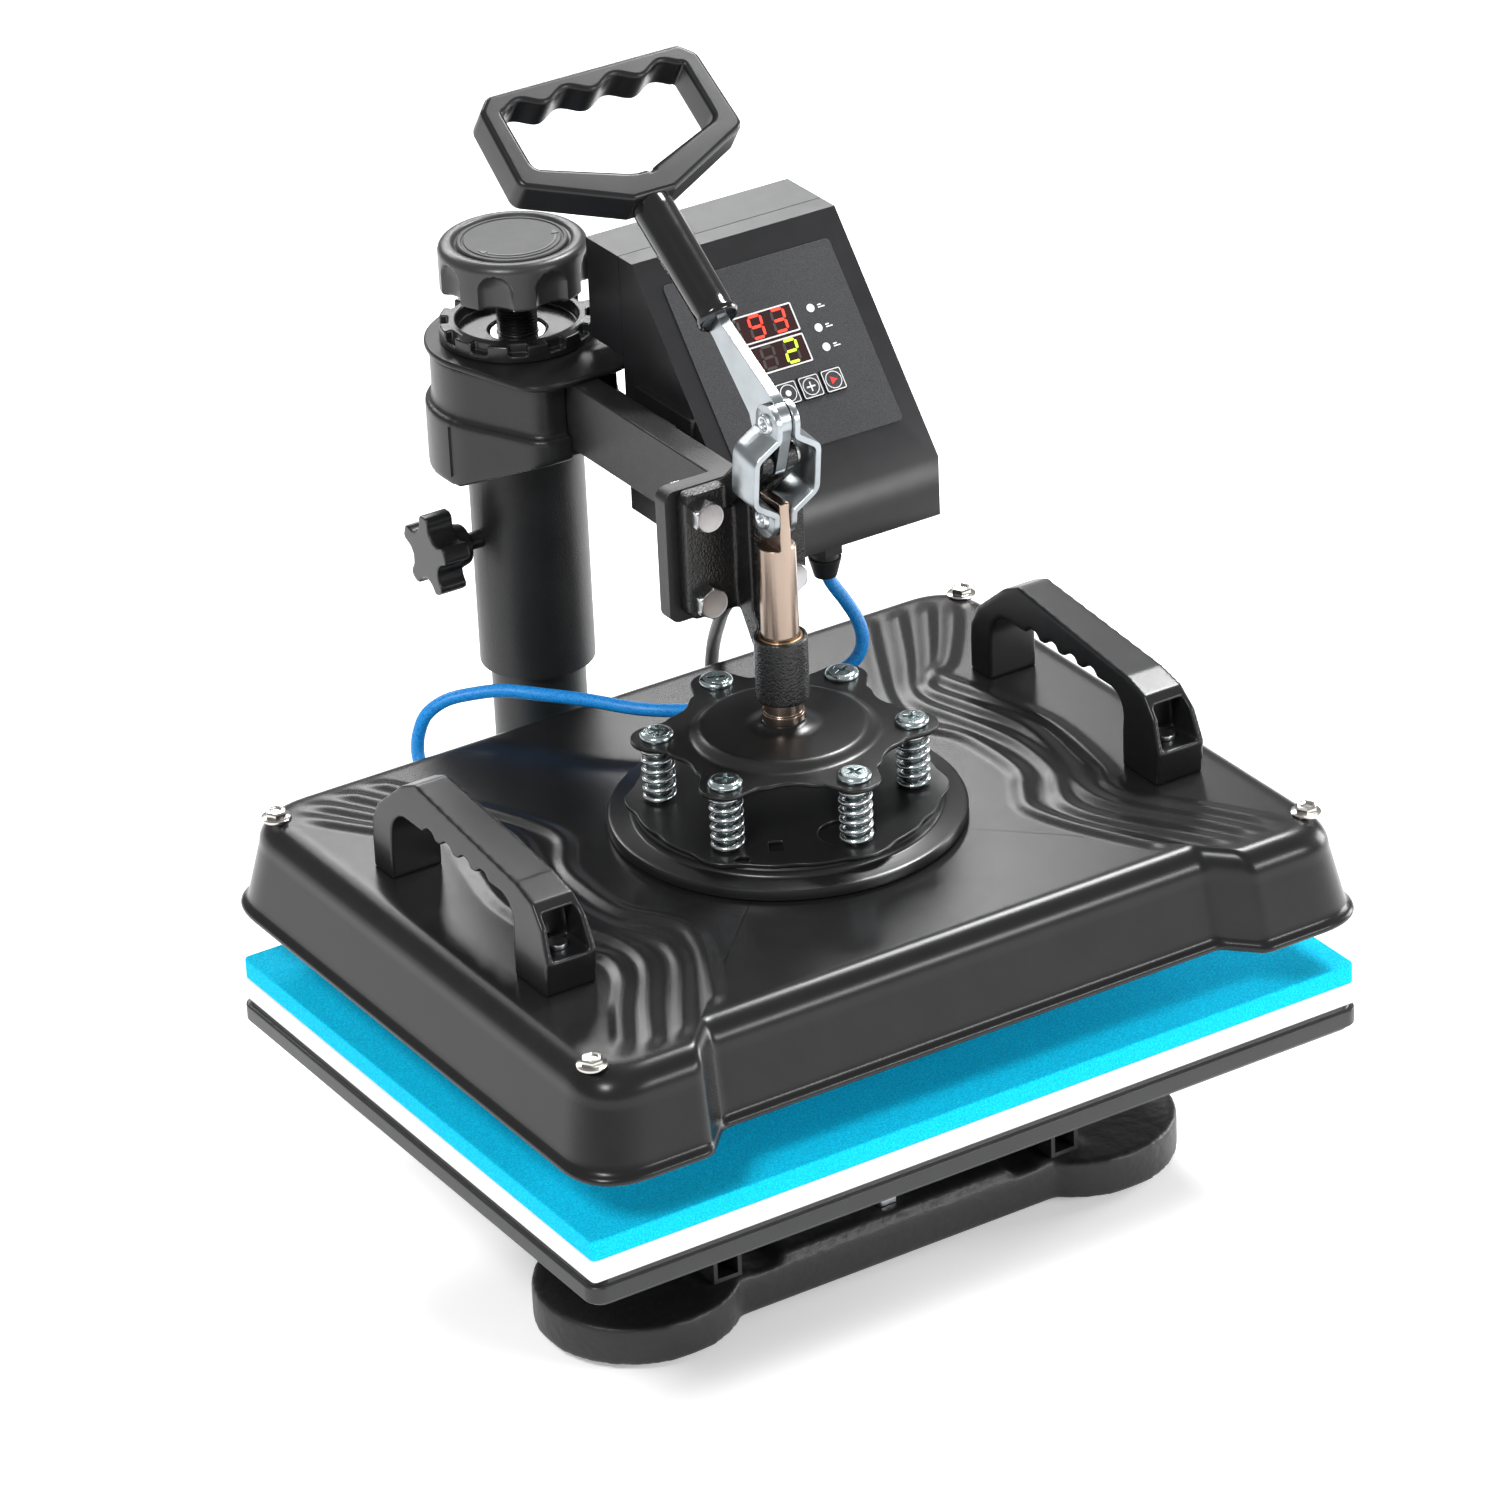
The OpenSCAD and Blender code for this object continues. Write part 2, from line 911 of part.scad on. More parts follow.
module star_plate() {
    color([0.05, 0.05, 0.05])
        difference() {
            union() {
                translate([0, 0, star_z])
                    linear_extrude(star_t)
                        star_plan();
                translate([0, 0, star_z])
                    cylinder(h = 8, r1 = 43, r2 = 26);
            }
            translate([0, 0, star_z - 1])
                cylinder(h = 7, r1 = 41, r2 = 24);
            for (i = [0 : spring_n - 1])
                rotate([0, 0, 30 + 360 / spring_n * i])
                    translate([spring_ring_r, 0, star_z - 1])
                        cylinder(h = 5, r = 3.3);
        }
}

module press_springs() {
    steps = 12;
    pitch = (spring_z1 - spring_z0 - 2 * wire_r - 0.4) / spring_turns;
    color("silver")
        for (i = [0 : spring_n - 1])
            rotate([0, 0, 30 + 360 / spring_n * i])
                translate([spring_ring_r, 0, spring_z0 + wire_r + 0.2])
                    tube(
                        [for (k = [0 : spring_turns * steps])
                            [spring_r * cos(360 * k / steps), spring_r * sin(360 * k / steps),
                                pitch * k / steps]],
                        wire_r, 6
                    );
}

// ---------------------------------------------------------------- sprung head

module spring_screws() {
    color("silver")
        for (i = [0 : spring_n - 1])
            rotate([0, 0, 30 + 360 / spring_n * i])
                translate([spring_ring_r, 0, 0]) {
                    translate([0, 0, lobe_z - 3])
                        cylinder(h = star_z + star_t - lobe_z + 3.3, r = 3);
                    translate([0, 0, star_z + star_t + 0.1])
                        difference() {
                            cylinder(h = 3.2, r1 = screw_head_r, r2 = screw_head_r - 1.4);
                            translate([0, 0, 1.8])
                                for (a = [0, 90])
                                    rotate([0, 0, a])
                                        translate([-3.5, -0.7, 0])
                                            cube([7, 1.4, 3]);
                        }
                }
}

module spring_plan() {
    difference() {
        union() {
            circle(66);
            for (i = [0 : spring_n - 1])
                rotate([0, 0, 30 + 360 / spring_n * i])
                    translate([spring_ring_r, 0])
                        circle(15.5);
        }
        for (i = [0 : spring_n - 1])
            rotate([0, 0, 360 / spring_n * i])
                translate([74, 0])
                    circle(9.5);
    }
}

module spring_plate() {
    color([0.06, 0.06, 0.06])
        difference() {
            translate([0, 0, lobe_z])
                linear_extrude(lobe_t)
                    spring_plan();
            for (i = [0 : spring_n - 1])
                rotate([0, 0, 30 + 360 / spring_n * i])
                    translate([spring_ring_r, 0, lobe_z - 1])
                        cylinder(h = 5, r = 3);
            translate([0, -46, lobe_z - 1])
                cylinder(h = 5, r = 12);
            translate([-30, -44, lobe_z - 1])
                rotate([0, 0, 60])
                    cube([9, 6, 5]);
            translate([-48, -40, lobe_z - 1])
                cylinder(h = 5, r = 3.2);
        }
}

module cover_disc() {
    color([0.07, 0.07, 0.07])
        difference() {
            translate([0, 0, cover_top])
                cylinder(h = lobe_z - cover_top, r = 70);
            translate([0, 0, cover_top + disc_t])
                difference() {
                    cylinder(h = 20, r = 78);
                    translate([0, 0, -1])
                        cylinder(h = 22, r = 66);
                }
            for (i = [0 : spring_n - 1])
                rotate([0, 0, 30 + 360 / spring_n * i])
                    translate([spring_ring_r, 0, lobe_z - 4])
                        cylinder(h = 5, r = 3.1);
        }
    color([0.07, 0.07, 0.07])
        translate([0, 0, cover_top])
            difference() {
                cylinder(h = disc_t, r = 77);
                translate([0, 0, -1])
                    cylinder(h = disc_t + 2, r = 70);
            }
}

// Plan of the cover: a wide rounded rectangle whose front edge steps back between the corners
module cover_plan(w, d, r) {
    difference() {
        round_rect(w, d, r);
        translate([0, -d / 2 - 10])
            round_rect(w - 126, 34, 6);
    }
}

module cover_solid(shrink) {
    top_h = cover_top - shrink;
    translate([0, 0, plate_z + 1])
        linear_extrude(14)
            cover_plan(cover_w - 2 * shrink, cover_d - 2 * shrink, 30 - shrink);
    translate([0, 0, plate_z + 15])
        linear_extrude(18)
            cover_plan(cover_w - 6 - 2 * shrink, cover_d - 6 - 2 * shrink, 29 - shrink);
    translate([0, 0, plate_z + 33])
        linear_extrude(top_h - plate_z - 36)
            cover_plan(cover_w - 12 - 2 * shrink, cover_d - 12 - 2 * shrink, 28 - shrink);
    translate([0, 0, top_h - 3])
        linear_extrude(3)
            cover_plan(cover_w - 22 - 2 * shrink, cover_d - 20 - 2 * shrink, 24 - shrink);
}

module head_cover() {
    color([0.1, 0.1, 0.11])
        difference() {
            cover_solid(0);
            translate([0, 0, -0.01])
                cover_solid(cover_t);
            translate([0, 0, plate_z - 1])
                linear_extrude(4)
                    cover_plan(cover_w - 2 * cover_t, cover_d - 2 * cover_t, 28);
            for (sx = [-1, 1], sy = [-1, 1])
                translate([sx * corner_x, sy * corner_y, cover_top - 10])
                    cylinder(h = 20, r = 2.6);
            for (sx = [-1, 1], y = handle_screw_y)
                translate([sx * handle_x, y, cover_top - 10])
                    cylinder(h = 20, r = 2.6);
        }
}

module cover_screws() {
    color("gainsboro")
        for (sx = [-1, 1], sy = [-1, 1])
            translate([sx * corner_x, sy * corner_y, 0]) {
                translate([0, 0, plate_z + 12])
                    cylinder(h = cover_top - plate_z - 12, r = 2.5);
                translate([0, 0, cover_top])
                    cylinder(h = 1, r = 6.5);
                translate([0, 0, cover_top + 1])
                    cylinder(h = 2.4, r1 = 4.6, r2 = 3.4);
            }
}

module heat_plate() {
    color("silver")
        difference() {
            translate([0, 0, plate_z])
                linear_extrude(16)
                    round_rect(cover_w - 10, cover_d - 40, 22);
            // Channels for the heating element
            translate([0, 0, plate_z + 10])
                for (k = [0 : 3])
                    linear_extrude(8)
                        difference() {
                            round_rect(320 - 70 * k, 220 - 50 * k, 24);
                            round_rect(306 - 70 * k, 206 - 50 * k, 17);
                        }
            for (sx = [-1, 1], sy = [-1, 1])
                translate([sx * corner_x, sy * corner_y, plate_z + 12])
                    cylinder(h = 10, r = 2.5);
        }
}

module heating_element() {
    color("orangered")
        translate([0, 0, plate_z + 10.2])
            for (k = [0 : 3])
                linear_extrude(5)
                    difference() {
                        round_rect(319 - 70 * k, 219 - 50 * k, 23.5);
                        round_rect(307 - 70 * k, 207 - 50 * k, 17.5);
                    }
}

module insulation_board() {
    color("beige")
        difference() {
            translate([0, 0, plate_z + 16.2])
                linear_extrude(18)
                    round_rect(cover_w - 30, cover_d - 60, 14);
            for (sx = [-1, 1], sy = [-1, 1])
                translate([sx * corner_x, sy * corner_y, plate_z])
                    cylinder(h = 60, r = 6);
            for (sx = [-1, 1], y = handle_screw_y)
                translate([sx * handle_x, y, plate_z + 20])
                    cylinder(h = 40, r = 4);
        }
}

// Side outline of a carry handle, along y, with its arch
module handle_side() {
    difference() {
        polygon([
            [-73, 0], [-75, 16], [-70, 30], [-62, 38], [-48, 42], [35, 51], [46, 46], [64, 31],
            [68, 22], [68, 0]
        ]);
        hull() {
            translate([-48, -1])
                square([100, 14]);
            for (y = [-37, 41])
                translate([y, 22])
                    circle(11);
        }
        for (y = [-22 : 14.5 : 22])
            translate([y, 30])
                circle(6);
    }
}

module carry_handles() {
    color([0.07, 0.07, 0.07])
        for (sx = [-1, 1])
            translate([sx * handle_x, 0, cover_top])
                difference() {
                    rotate([90, 0, 90])
                        translate([0, 0, -12])
                            linear_extrude(24)
                                handle_side();
                    // Screw pocket at the front end
                    translate([-9, handle_screw_y[0] - 20, 16])
                        cube([18, 26.5, 18]);
                    translate([0, handle_screw_y[0], -1])
                        cylinder(h = 20, r = 2.6);
                    translate([0, handle_screw_y[1], -1])
                        cylinder(h = 12, r = 2.6);
                }
}

module handle_screws() {
    color("silver")
        for (sx = [-1, 1])
            translate([sx * handle_x, 0, cover_top]) {
                translate([0, handle_screw_y[0], -9])
                    cylinder(h = 25, r = 2.5);
                translate([0, handle_screw_y[0], 16])
                    cylinder(h = 2.2, r = 4.4);
                translate([0, handle_screw_y[1], -9])
                    cylinder(h = 19, r = 2.5);
            }
}

// ---------------------------------------------------------------- control box

// Side profile of the box in y and z, pulled in by a wall thickness
module box_side(inset) {
    offset(delta = -inset)
        polygon([
            [box_y_front, box_z_bottom], [box_y_front, box_z_chin], [box_y_top, box_z_top],
            [box_y_back, box_z_top], [box_y_back, box_z_bottom + 8], [box_y_back - 8, box_z_bottom]
        ]);
}

module box_shell() {
    difference() {
        translate([box_x0, 0, 0])
            rotate([90, 0, 90])
                linear_extrude(box_w)
                    box_side(0);
        translate([box_x0 + box_wall, 0, 0])
            rotate([90, 0, 90])
                linear_extrude(box_w - 2 * box_wall)
                    box_side(box_wall);
    }
}

// Turns the panel's own plane onto the slope: x across, y up the slope, z out of the face
module at_panel() {
    translate([(box_x0 + box_x1) / 2, box_y_front, box_z_chin])
        rotate([panel_angle, 0, 0])
            children();
}

module box_front() {
    color([0.12, 0.12, 0.13])
        difference() {
            intersection() {
                box_shell();
                translate([0, 0, 200])
                    cube([200, seam_y, 200]);
            }
            at_panel() {
                translate([window_x - 1, window_y - 1, -6])
                    cube([window_w + 2, window_h + 2, 12]);
                for (i = [0 : key_n - 1])
                    translate([key_step * (i - 1.5), key_y, -6])
                        cylinder(h = 12, r = 3);
            }
            for (g = [heater_gland, mains_gland])
                translate([g[0], g[1], box_z_bottom - 1])
                    cylinder(h = 6, r = 6.2);
            for (y = bracket_screw_y)
                translate([box_x0 - 1, y, 320])
                    rotate([0, 90, 0])
                        cylinder(h = 6, r = 2.6);
        }
}

// Rear shell, with a walled recess in its inner side that clears the column's shroud
module box_rear() {
    color([0.1, 0.1, 0.11])
        difference() {
            union() {
                intersection() {
                    box_shell();
                    translate([0, seam_y + 0.4, 200])
                        cube([200, 80, 200]);
                }
                translate([recess_x, seam_y + 0.4, box_z_bottom + 9])
                    cube([box_wall, box_y_back - seam_y - 1, recess_z - box_z_bottom - 9]);
                translate([box_x0 + 1, seam_y + 0.4, recess_z])
                    cube([recess_x + box_wall - box_x0 - 1, box_y_back - seam_y - 1, box_wall]);
            }
            translate([box_x0 - 1, seam_y - 1, box_z_bottom - 1])
                cube([recess_x - box_x0 + 1, 60, recess_z - box_z_bottom + 1]);
        }
}

// Plate and screws that hold the box against the side of the beam
module box_bracket() {
    color("silver") {
        difference() {
            translate([beam_half, 92, 306])
                cube([box_x0 - beam_half, 46, 26]);
            translate([beam_half + 2.5, 91, 309])
                cube([box_x0 - beam_half - 5, 48, 30]);
            for (y = bracket_screw_y)
                translate([beam_half + 4, y, 320])
                    rotate([0, 90, 0])
                        cylinder(h = 20, r = 2.6);
        }
        for (y = bracket_screw_y) {
            translate([beam_half + 3, y, 320])
                rotate([0, 90, 0])
                    cylinder(h = box_x0 + box_wall - beam_half - 3, r = 2.5);
            translate([box_x0 + box_wall, y, 320])
                rotate([0, 90, 0])
                    cylinder(h = 2.5, r = 4.5);
        }
    }
}

module membrane_panel() {
    color([0.16, 0.16, 0.17])
        difference() {
            at_panel()
                translate([0, membrane_y, 0.1])
                    linear_extrude(0.6)
                        round_rect(box_w - 19, membrane_d, 2);
            at_panel() {
                for (i = [0 : key_n - 1])
                    translate([key_step * (i - 1.5), key_y, -1])
                        linear_extrude(3)
                            square(key_w + 2 * gap, center = true);
                translate([window_x, window_y, -1])
                    cube([window_w, window_h, 3]);
            }
        }
}

// Two-row digit display: its window sits in the membrane, its body behind the panel
module display_window() {
    color([0.2, 0.05, 0.05])
        at_panel()
            translate([window_x + 0.2, window_y + 0.2, -5])
                cube([window_w - 0.4, window_h - 0.4, 5.6]);
}

// One key: a square cap over the membrane with a short plunger under it
module key_cap(i) {
    color([0.2, 0.2, 0.2])
        at_panel()
            translate([key_step * (i - 1.5), key_y, 0]) {
                translate([0, 0, 0.8])
                    linear_extrude(0.9)
                        square(key_w, center = true);
                translate([0, 0, -3.6])
                    cylinder(h = 4.6, r = 2.6);
            }
}

module key_1() {
    key_cap(0);
}

module key_2() {
    key_cap(1);
}

module key_3() {
    key_cap(2);
}

module key_4() {
    key_cap(3);
}

// Circuit board behind the panel, with the display, relay and transformer on it
module circuit_board() {
    color([0.1, 0.35, 0.15])
        at_panel() {
            translate([-44, 14, -8])
                cube([88, 80, 1.6]);
            translate([-36, 20, -26])
                cube([30, 30, 18]);
            translate([6, 22, -22])
                cube([20, 15, 14]);
            for (i = [0 : key_n - 1])
                translate([key_step * (i - 1.5) - 3, key_y - 3, -6.4])
                    cube([6, 6, 2]);
        }
}

// ---------------------------------------------------------------- cables

module cable_glands() {
    color([0.06, 0.06, 0.06])
        for (g = [heater_gland, mains_gland])
            translate([g[0], g[1], 0])
                difference() {
                    union() {
                        translate([0, 0, box_z_bottom + box_wall])
                            cylinder(h = 4, r = 8);
                        translate([0, 0, box_z_bottom - 10])
                            cylinder(h = 14, r = 6);
                        translate([0, 0, box_z_bottom - 6])
                            hex_head(15, 6);
                        translate([0, 0, box_z_bottom - 18])
                            cylinder(h = 9, r1 = 5, r2 = 7.4);
                    }
                    translate([0, 0, box_z_bottom - 19])
                        cylinder(h = 40, r = 3.6);
                }
}

module heater_cable() {
    color("dodgerblue")
        tube(smooth(heater_route, 3), heater_r, 8);
}

// Mains lead: the run down to the table, and the tail from the coil to the plug
module mains_lead() {
    color([0.04, 0.04, 0.04]) {
        tube(smooth(mains_route, 3), mains_r, 8);
        tube(smooth(tail_route, 3), mains_r, 8);
    }
}

// Closed outer shape of the coiled length: two layers of turns
module lead_coil() {
    color([0.04, 0.04, 0.04])
        translate([coil_centre[0], coil_centre[1], 0])
            rotate_extrude($fn = 96)
                translate([coil_in - mains_r, coil_z - mains_r])
                    square([coil_out - coil_in + 2 * mains_r, coil_rise + 2 * mains_r]);
}

// Two-pin plug lying behind the press, with its tapered strain relief
module mains_plug() {
    color([0.05, 0.05, 0.05])
        translate([88, 375, 10.5])
            rotate([0, -90, 0]) {
                cylinder(h = 16, r1 = 4.5, r2 = 6);
                translate([0, 0, 16])
                    linear_extrude(26)
                        round_rect(19, 26, 5);
                translate([0, 0, 42])
                    linear_extrude(3)
                        round_rect(15, 22, 4);
                for (y = [-6.35, 6.35])
                    translate([-3.2, y - 0.75, 45])
                        cube([6.4, 1.5, 16]);
            }
}

// ---------------------------------------------------------------- assembly

base_frame();
rubber_feet();
support_rails();
rail_screws();
platen_studs();
lower_platen();
silicone_pad();
foam_sheet();
column_post();
post_bolts();
post_cap();
pressure_stem();
pressure_knob();
knob_badge();
lift_nut();
thrust_washer();
outer_tube();
column_shroud();
saddle_cap();
lock_ring();
clamp_knob();
arm_beam();
beam_flange();
head_casting();
head_bolts();
shaft_bushes();
pivot_pin();
lever_bar();
lever_grip();
lever_handle();
link_plates();
link_rivets();
press_shaft();
star_plate();
press_springs();
spring_screws();
spring_plate();
cover_disc();
head_cover();
cover_screws();
heat_plate();
heating_element();
insulation_board();
carry_handles();
handle_screws();
box_front();
box_rear();
box_bracket();
membrane_panel();
display_window();
key_1();
key_2();
key_3();
key_4();
circuit_board();
heater_cable();
cable_glands();
mains_lead();
lead_coil();
mains_plug();
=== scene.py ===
import json
import math

import bmesh
import bpy
import numpy as np
from mathutils import Matrix, Vector


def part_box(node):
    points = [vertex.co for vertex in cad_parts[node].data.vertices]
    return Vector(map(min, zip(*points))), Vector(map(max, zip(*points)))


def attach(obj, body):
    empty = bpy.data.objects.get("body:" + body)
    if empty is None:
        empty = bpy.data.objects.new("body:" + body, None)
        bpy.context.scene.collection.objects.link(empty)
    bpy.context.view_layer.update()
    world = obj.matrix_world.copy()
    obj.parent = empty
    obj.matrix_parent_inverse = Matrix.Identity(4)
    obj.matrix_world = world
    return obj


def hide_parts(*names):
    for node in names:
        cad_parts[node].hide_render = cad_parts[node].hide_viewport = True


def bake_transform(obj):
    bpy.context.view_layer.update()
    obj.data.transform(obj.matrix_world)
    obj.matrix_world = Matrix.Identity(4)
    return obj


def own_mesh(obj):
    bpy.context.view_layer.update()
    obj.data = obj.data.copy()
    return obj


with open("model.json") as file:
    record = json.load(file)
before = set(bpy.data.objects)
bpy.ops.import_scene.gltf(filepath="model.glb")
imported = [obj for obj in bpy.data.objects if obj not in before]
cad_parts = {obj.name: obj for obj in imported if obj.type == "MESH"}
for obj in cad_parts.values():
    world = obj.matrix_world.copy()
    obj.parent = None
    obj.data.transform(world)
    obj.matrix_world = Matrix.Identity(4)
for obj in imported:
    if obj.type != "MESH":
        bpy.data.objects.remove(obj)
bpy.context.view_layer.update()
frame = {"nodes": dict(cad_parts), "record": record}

MM = 0.001
# Places in mm: the column's axis, the spring bolts' ring, and heights on the head.
COLUMN_Y = 208
SPRING_RING = 54
COVER_TOP = 186
SPRING_FLOOR = 198
STAR_LOW = 225
BODY_OF = {
    node: body
    for body, nodes in frame["record"]["behaviour"]["bodies"].items()
    for node in nodes
}
SLOT_OF = {row["node"]: row["material_slot"] for row in frame["record"]["subparts"]}


def link(name, data):
    """A new object in the scene, for a mesh, a curve, a light or the camera."""
    piece = bpy.data.objects.new(name, data)
    bpy.context.scene.collection.objects.link(piece)
    return piece


def set_sockets(node, values):
    for socket, value in values.items():
        node.inputs[socket].default_value = value


# ---- camera and light


def make_camera():
    azimuth, elevation, roll = (math.radians(a) for a in (-31.29, 27.66, -2.67))
    flat = math.cos(elevation)
    back = Vector((math.sin(azimuth) * flat, -math.cos(azimuth) * flat, math.sin(elevation)))
    level = Vector((0, 0, 1)).cross(back).normalized()
    upright = back.cross(level)
    right = math.cos(roll) * level + math.sin(roll) * upright
    up = math.cos(roll) * upright - math.sin(roll) * level
    data = bpy.data.cameras.new("camera")
    data.lens = 163.7
    data.sensor_width = 36
    data.clip_end = 50
    camera = link("camera", data)
    turned = Matrix((right, up, back)).transposed().to_4x4()
    turned.translation = (-1.3410, -2.1777, 1.5586)
    camera.matrix_world = turned
    bpy.context.scene.camera = camera


def area_light(name, place, target, size, power):
    data = bpy.data.lights.new(name, "AREA")
    data.shape = "RECTANGLE"
    data.size, data.size_y = size
    data.energy = power
    lamp = link(name, data)
    lamp.location = place
    lamp.rotation_mode = "QUATERNION"
    lamp.rotation_quaternion = (Vector(target) - Vector(place)).to_track_quat("-Z", "Y")


def make_studio():
    world = bpy.data.worlds.new("studio")
    world.use_nodes = True
    set_sockets(world.node_tree.nodes["Background"], {"Color": (1, 1, 1, 1), "Strength": 0.36})
    bpy.context.scene.world = world
    bpy.context.scene.view_settings.view_transform = "Standard"
    area_light("key", (-1.5, -0.9, 1.9), (0, 0, 0.2), (0.55, 0.55), 36)
    area_light("top", (0.95, 0.4, 1.65), (0, 0, 0.2), (0.4, 0.4), 28)
    area_light("back", (0.5, 2.0, 1.5), (0, 0.1, 0.2), (1.8, 0.35), 28)
    area_light("right", (1.6, -0.15, 0.4), (0, 0, 0.2), (0.6, 0.6), 16)
    area_light("front", (1.1, -1.9, 0.85), (0, 0, 0.2), (0.8, 0.25), 17)
    mesh = bpy.data.meshes.new("floor")
    half, level = 6.0, -0.0004
    corners = [(-half, -half), (half, -half), (half, half), (-half, half)]
    mesh.from_pydata([(x, y, level) for x, y in corners], [], [(0, 1, 2, 3)])
    paper = bpy.data.materials.new("floor_paper")
    paper.use_nodes = True
    set_sockets(paper.node_tree.nodes["Principled BSDF"], {
        "Base Color": (0.93, 0.93, 0.93, 1), "Roughness": 0.9,
        "Emission Color": (1, 1, 1, 1), "Emission Strength": 0.36,
    })
    mesh.materials.append(paper)
    floor = link("floor", mesh)


# ---- materials


MATERIALS = {}


def object_place(nodes):
    return nodes.new("ShaderNodeTexCoord").outputs["Object"]


def ramp_node(nodes, tones, span):
    """A colour ramp between two tones, over a span of its factor."""
    ramp = nodes.new("ShaderNodeValToRGB")
    for element, tone, place in zip(ramp.color_ramp.elements, tones, span):
        element.position = place
        element.color = (*tone, 1)
    return ramp


def surface(name, colour, rough, metal=0.0, coat=0.0, shade=0.12, grain=0.0, grain_size=0.6,
            wave=0.0, wave_size=6.0, glow=0.0, stretch=(1, 1, 1), rough_spread=0.04,
            mirror=0.5):
    """A paint, plastic or metal: uneven shade and gloss, a fine grain and a longer wave."""
    made = bpy.data.materials.new(name)
    made.use_nodes = True
    nodes, links = made.node_tree.nodes, made.node_tree.links
    shader = nodes["Principled BSDF"]
    set_sockets(shader, {"Metallic": metal, "Specular IOR Level": mirror,
                         "Coat Weight": coat, "Coat Roughness": 0.12})
    mapping = nodes.new("ShaderNodeMapping")
    mapping.inputs["Scale"].default_value = stretch
    links.new(object_place(nodes), mapping.inputs["Vector"])

    def noise_node(size_mm, detail):
        texture = nodes.new("ShaderNodeTexNoise")
        set_sockets(texture, {"Scale": 1.0 / (size_mm * MM), "Detail": detail})
        links.new(mapping.outputs["Vector"], texture.inputs["Vector"])
        return texture.outputs["Fac"]

    tones = [[min(1.0, c * factor) for c in colour] for factor in (1 - shade, 1 + shade)]
    ramp = ramp_node(nodes, tones, (0.3, 0.7))
    links.new(noise_node(18, 4), ramp.inputs["Fac"])
    links.new(ramp.outputs["Color"], shader.inputs["Base Color"])
    gloss = nodes.new("ShaderNodeMapRange")
    set_sockets(gloss, {"To Min": max(0.02, rough - rough_spread),
                        "To Max": min(1.0, rough + rough_spread)})
    links.new(noise_node(7, 5), gloss.inputs["Value"])
    links.new(gloss.outputs["Result"], shader.inputs["Roughness"])
    previous = None
    for strength, size, detail in ((grain, grain_size, 2), (wave, wave_size, 1)):
        if strength:
            bump = nodes.new("ShaderNodeBump")
            set_sockets(bump, {"Strength": min(1.0, strength), "Distance": size * MM * 0.3})
            links.new(noise_node(size, detail), bump.inputs["Height"])
            if previous:
                links.new(previous, bump.inputs["Normal"])
            previous = bump.outputs["Normal"]
    if previous:
        links.new(previous, shader.inputs["Normal"])
    # glow makes a colour shine by itself: the lit display digits are lamps, but on the printed red
    # key icon it is painted glow
    if glow:
        set_sockets(shader, {"Emission Color": (*colour, 1), "Emission Strength": glow})
    MATERIALS[name] = made
    return made


def two_toned(made, texture, output, tones, span):
    """Mixes two tones into a material's colour by a texture."""
    nodes, links = made.node_tree.nodes, made.node_tree.links
    ramp = ramp_node(nodes, tones, span)
    links.new(object_place(nodes), texture.inputs["Vector"])
    links.new(texture.outputs[output], ramp.inputs["Fac"])
    links.new(ramp.outputs["Color"], nodes["Principled BSDF"].inputs["Base Color"])


def speckled(name, low, high, rough, size, grain, mirror=0.5):
    """A surface of two mixed tones, such as foam rubber or a sparkling film."""
    made = surface(name, high, rough, grain=grain, grain_size=size, mirror=mirror)
    texture = made.node_tree.nodes.new("ShaderNodeTexNoise")
    set_sockets(texture, {"Scale": 1.0 / (size * MM), "Detail": 3, "Roughness": 0.7})
    two_toned(made, texture, "Fac", (low, high), (0.40, 0.62))


def braided(name, colour, lighter):
    """A woven cable sleeve of fine light cells on darker gaps."""
    made = surface(name, colour, 0.42, grain=0.3, grain_size=0.5)
    weave = made.node_tree.nodes.new("ShaderNodeTexVoronoi")
    weave.inputs["Scale"].default_value = 1100
    two_toned(made, weave, "Distance", (lighter, colour), (0, 1))


surface("cast_black", (0.013, 0.013, 0.014), 0.42, grain=0.4, grain_size=0.9, wave=0.3, wave_size=5)
surface("foot_rubber", (0.012, 0.012, 0.012), 0.8, grain=0.3)
surface("rail_black", (0.01, 0.01, 0.01), 0.42, grain=0.3)
surface("zinc", (0.72, 0.75, 0.77), 0.3, metal=1, grain=0.1, grain_size=0.5)
surface("platen_black", (0.012, 0.012, 0.013), 0.36, grain=0.45, grain_size=0.7)
surface("silicone_white", (0.86, 0.86, 0.83), 0.6, shade=0.02, grain=0.12)
speckled("foam_blue", (0.0, 0.43, 0.72), (0.004, 0.70, 0.98), 0.85, 0.8, 0.5, 0.15)
surface("powder_black", (0.012, 0.012, 0.0125), 0.4, grain=0.5, grain_size=0.8, mirror=0.4)
surface("bare_steel", (0.55, 0.54, 0.52), 0.35, metal=1, grain=0.15)
surface("stem_black", (0.008, 0.008, 0.008), 0.3, grain=0.2)
surface("knob_plastic", (0.032, 0.032, 0.033), 0.33, grain=0.3, grain_size=0.5)
surface("badge_plastic", (0.034, 0.034, 0.035), 0.45, grain=0.25, grain_size=0.5, mirror=0.35)
surface("bright_steel", (0.8, 0.8, 0.79), 0.18, metal=1, grain=0.05)
surface("shroud_plastic", (0.011, 0.011, 0.0115), 0.36, grain=0.25, mirror=0.4)
surface("cap_plastic", (0.014, 0.014, 0.0145), 0.32, grain=0.25, mirror=0.2)
surface("ring_plastic", (0.012, 0.012, 0.0125), 0.26, grain=0.15)
surface("star_knob_plastic", (0.01, 0.01, 0.01), 0.34, grain=0.2)
surface("hammertone", (0.007, 0.007, 0.007), 0.26, grain=1.0, grain_size=1.1)
surface("bright_zinc", (0.44, 0.44, 0.45), 0.24, metal=1, grain=0.1)
surface("bronze", (0.5, 0.34, 0.2), 0.3, metal=1, grain=0.15)
surface("lever_zinc", (0.37, 0.4, 0.42), 0.32, metal=1, grain=0.15, wave=0.12, wave_size=8)
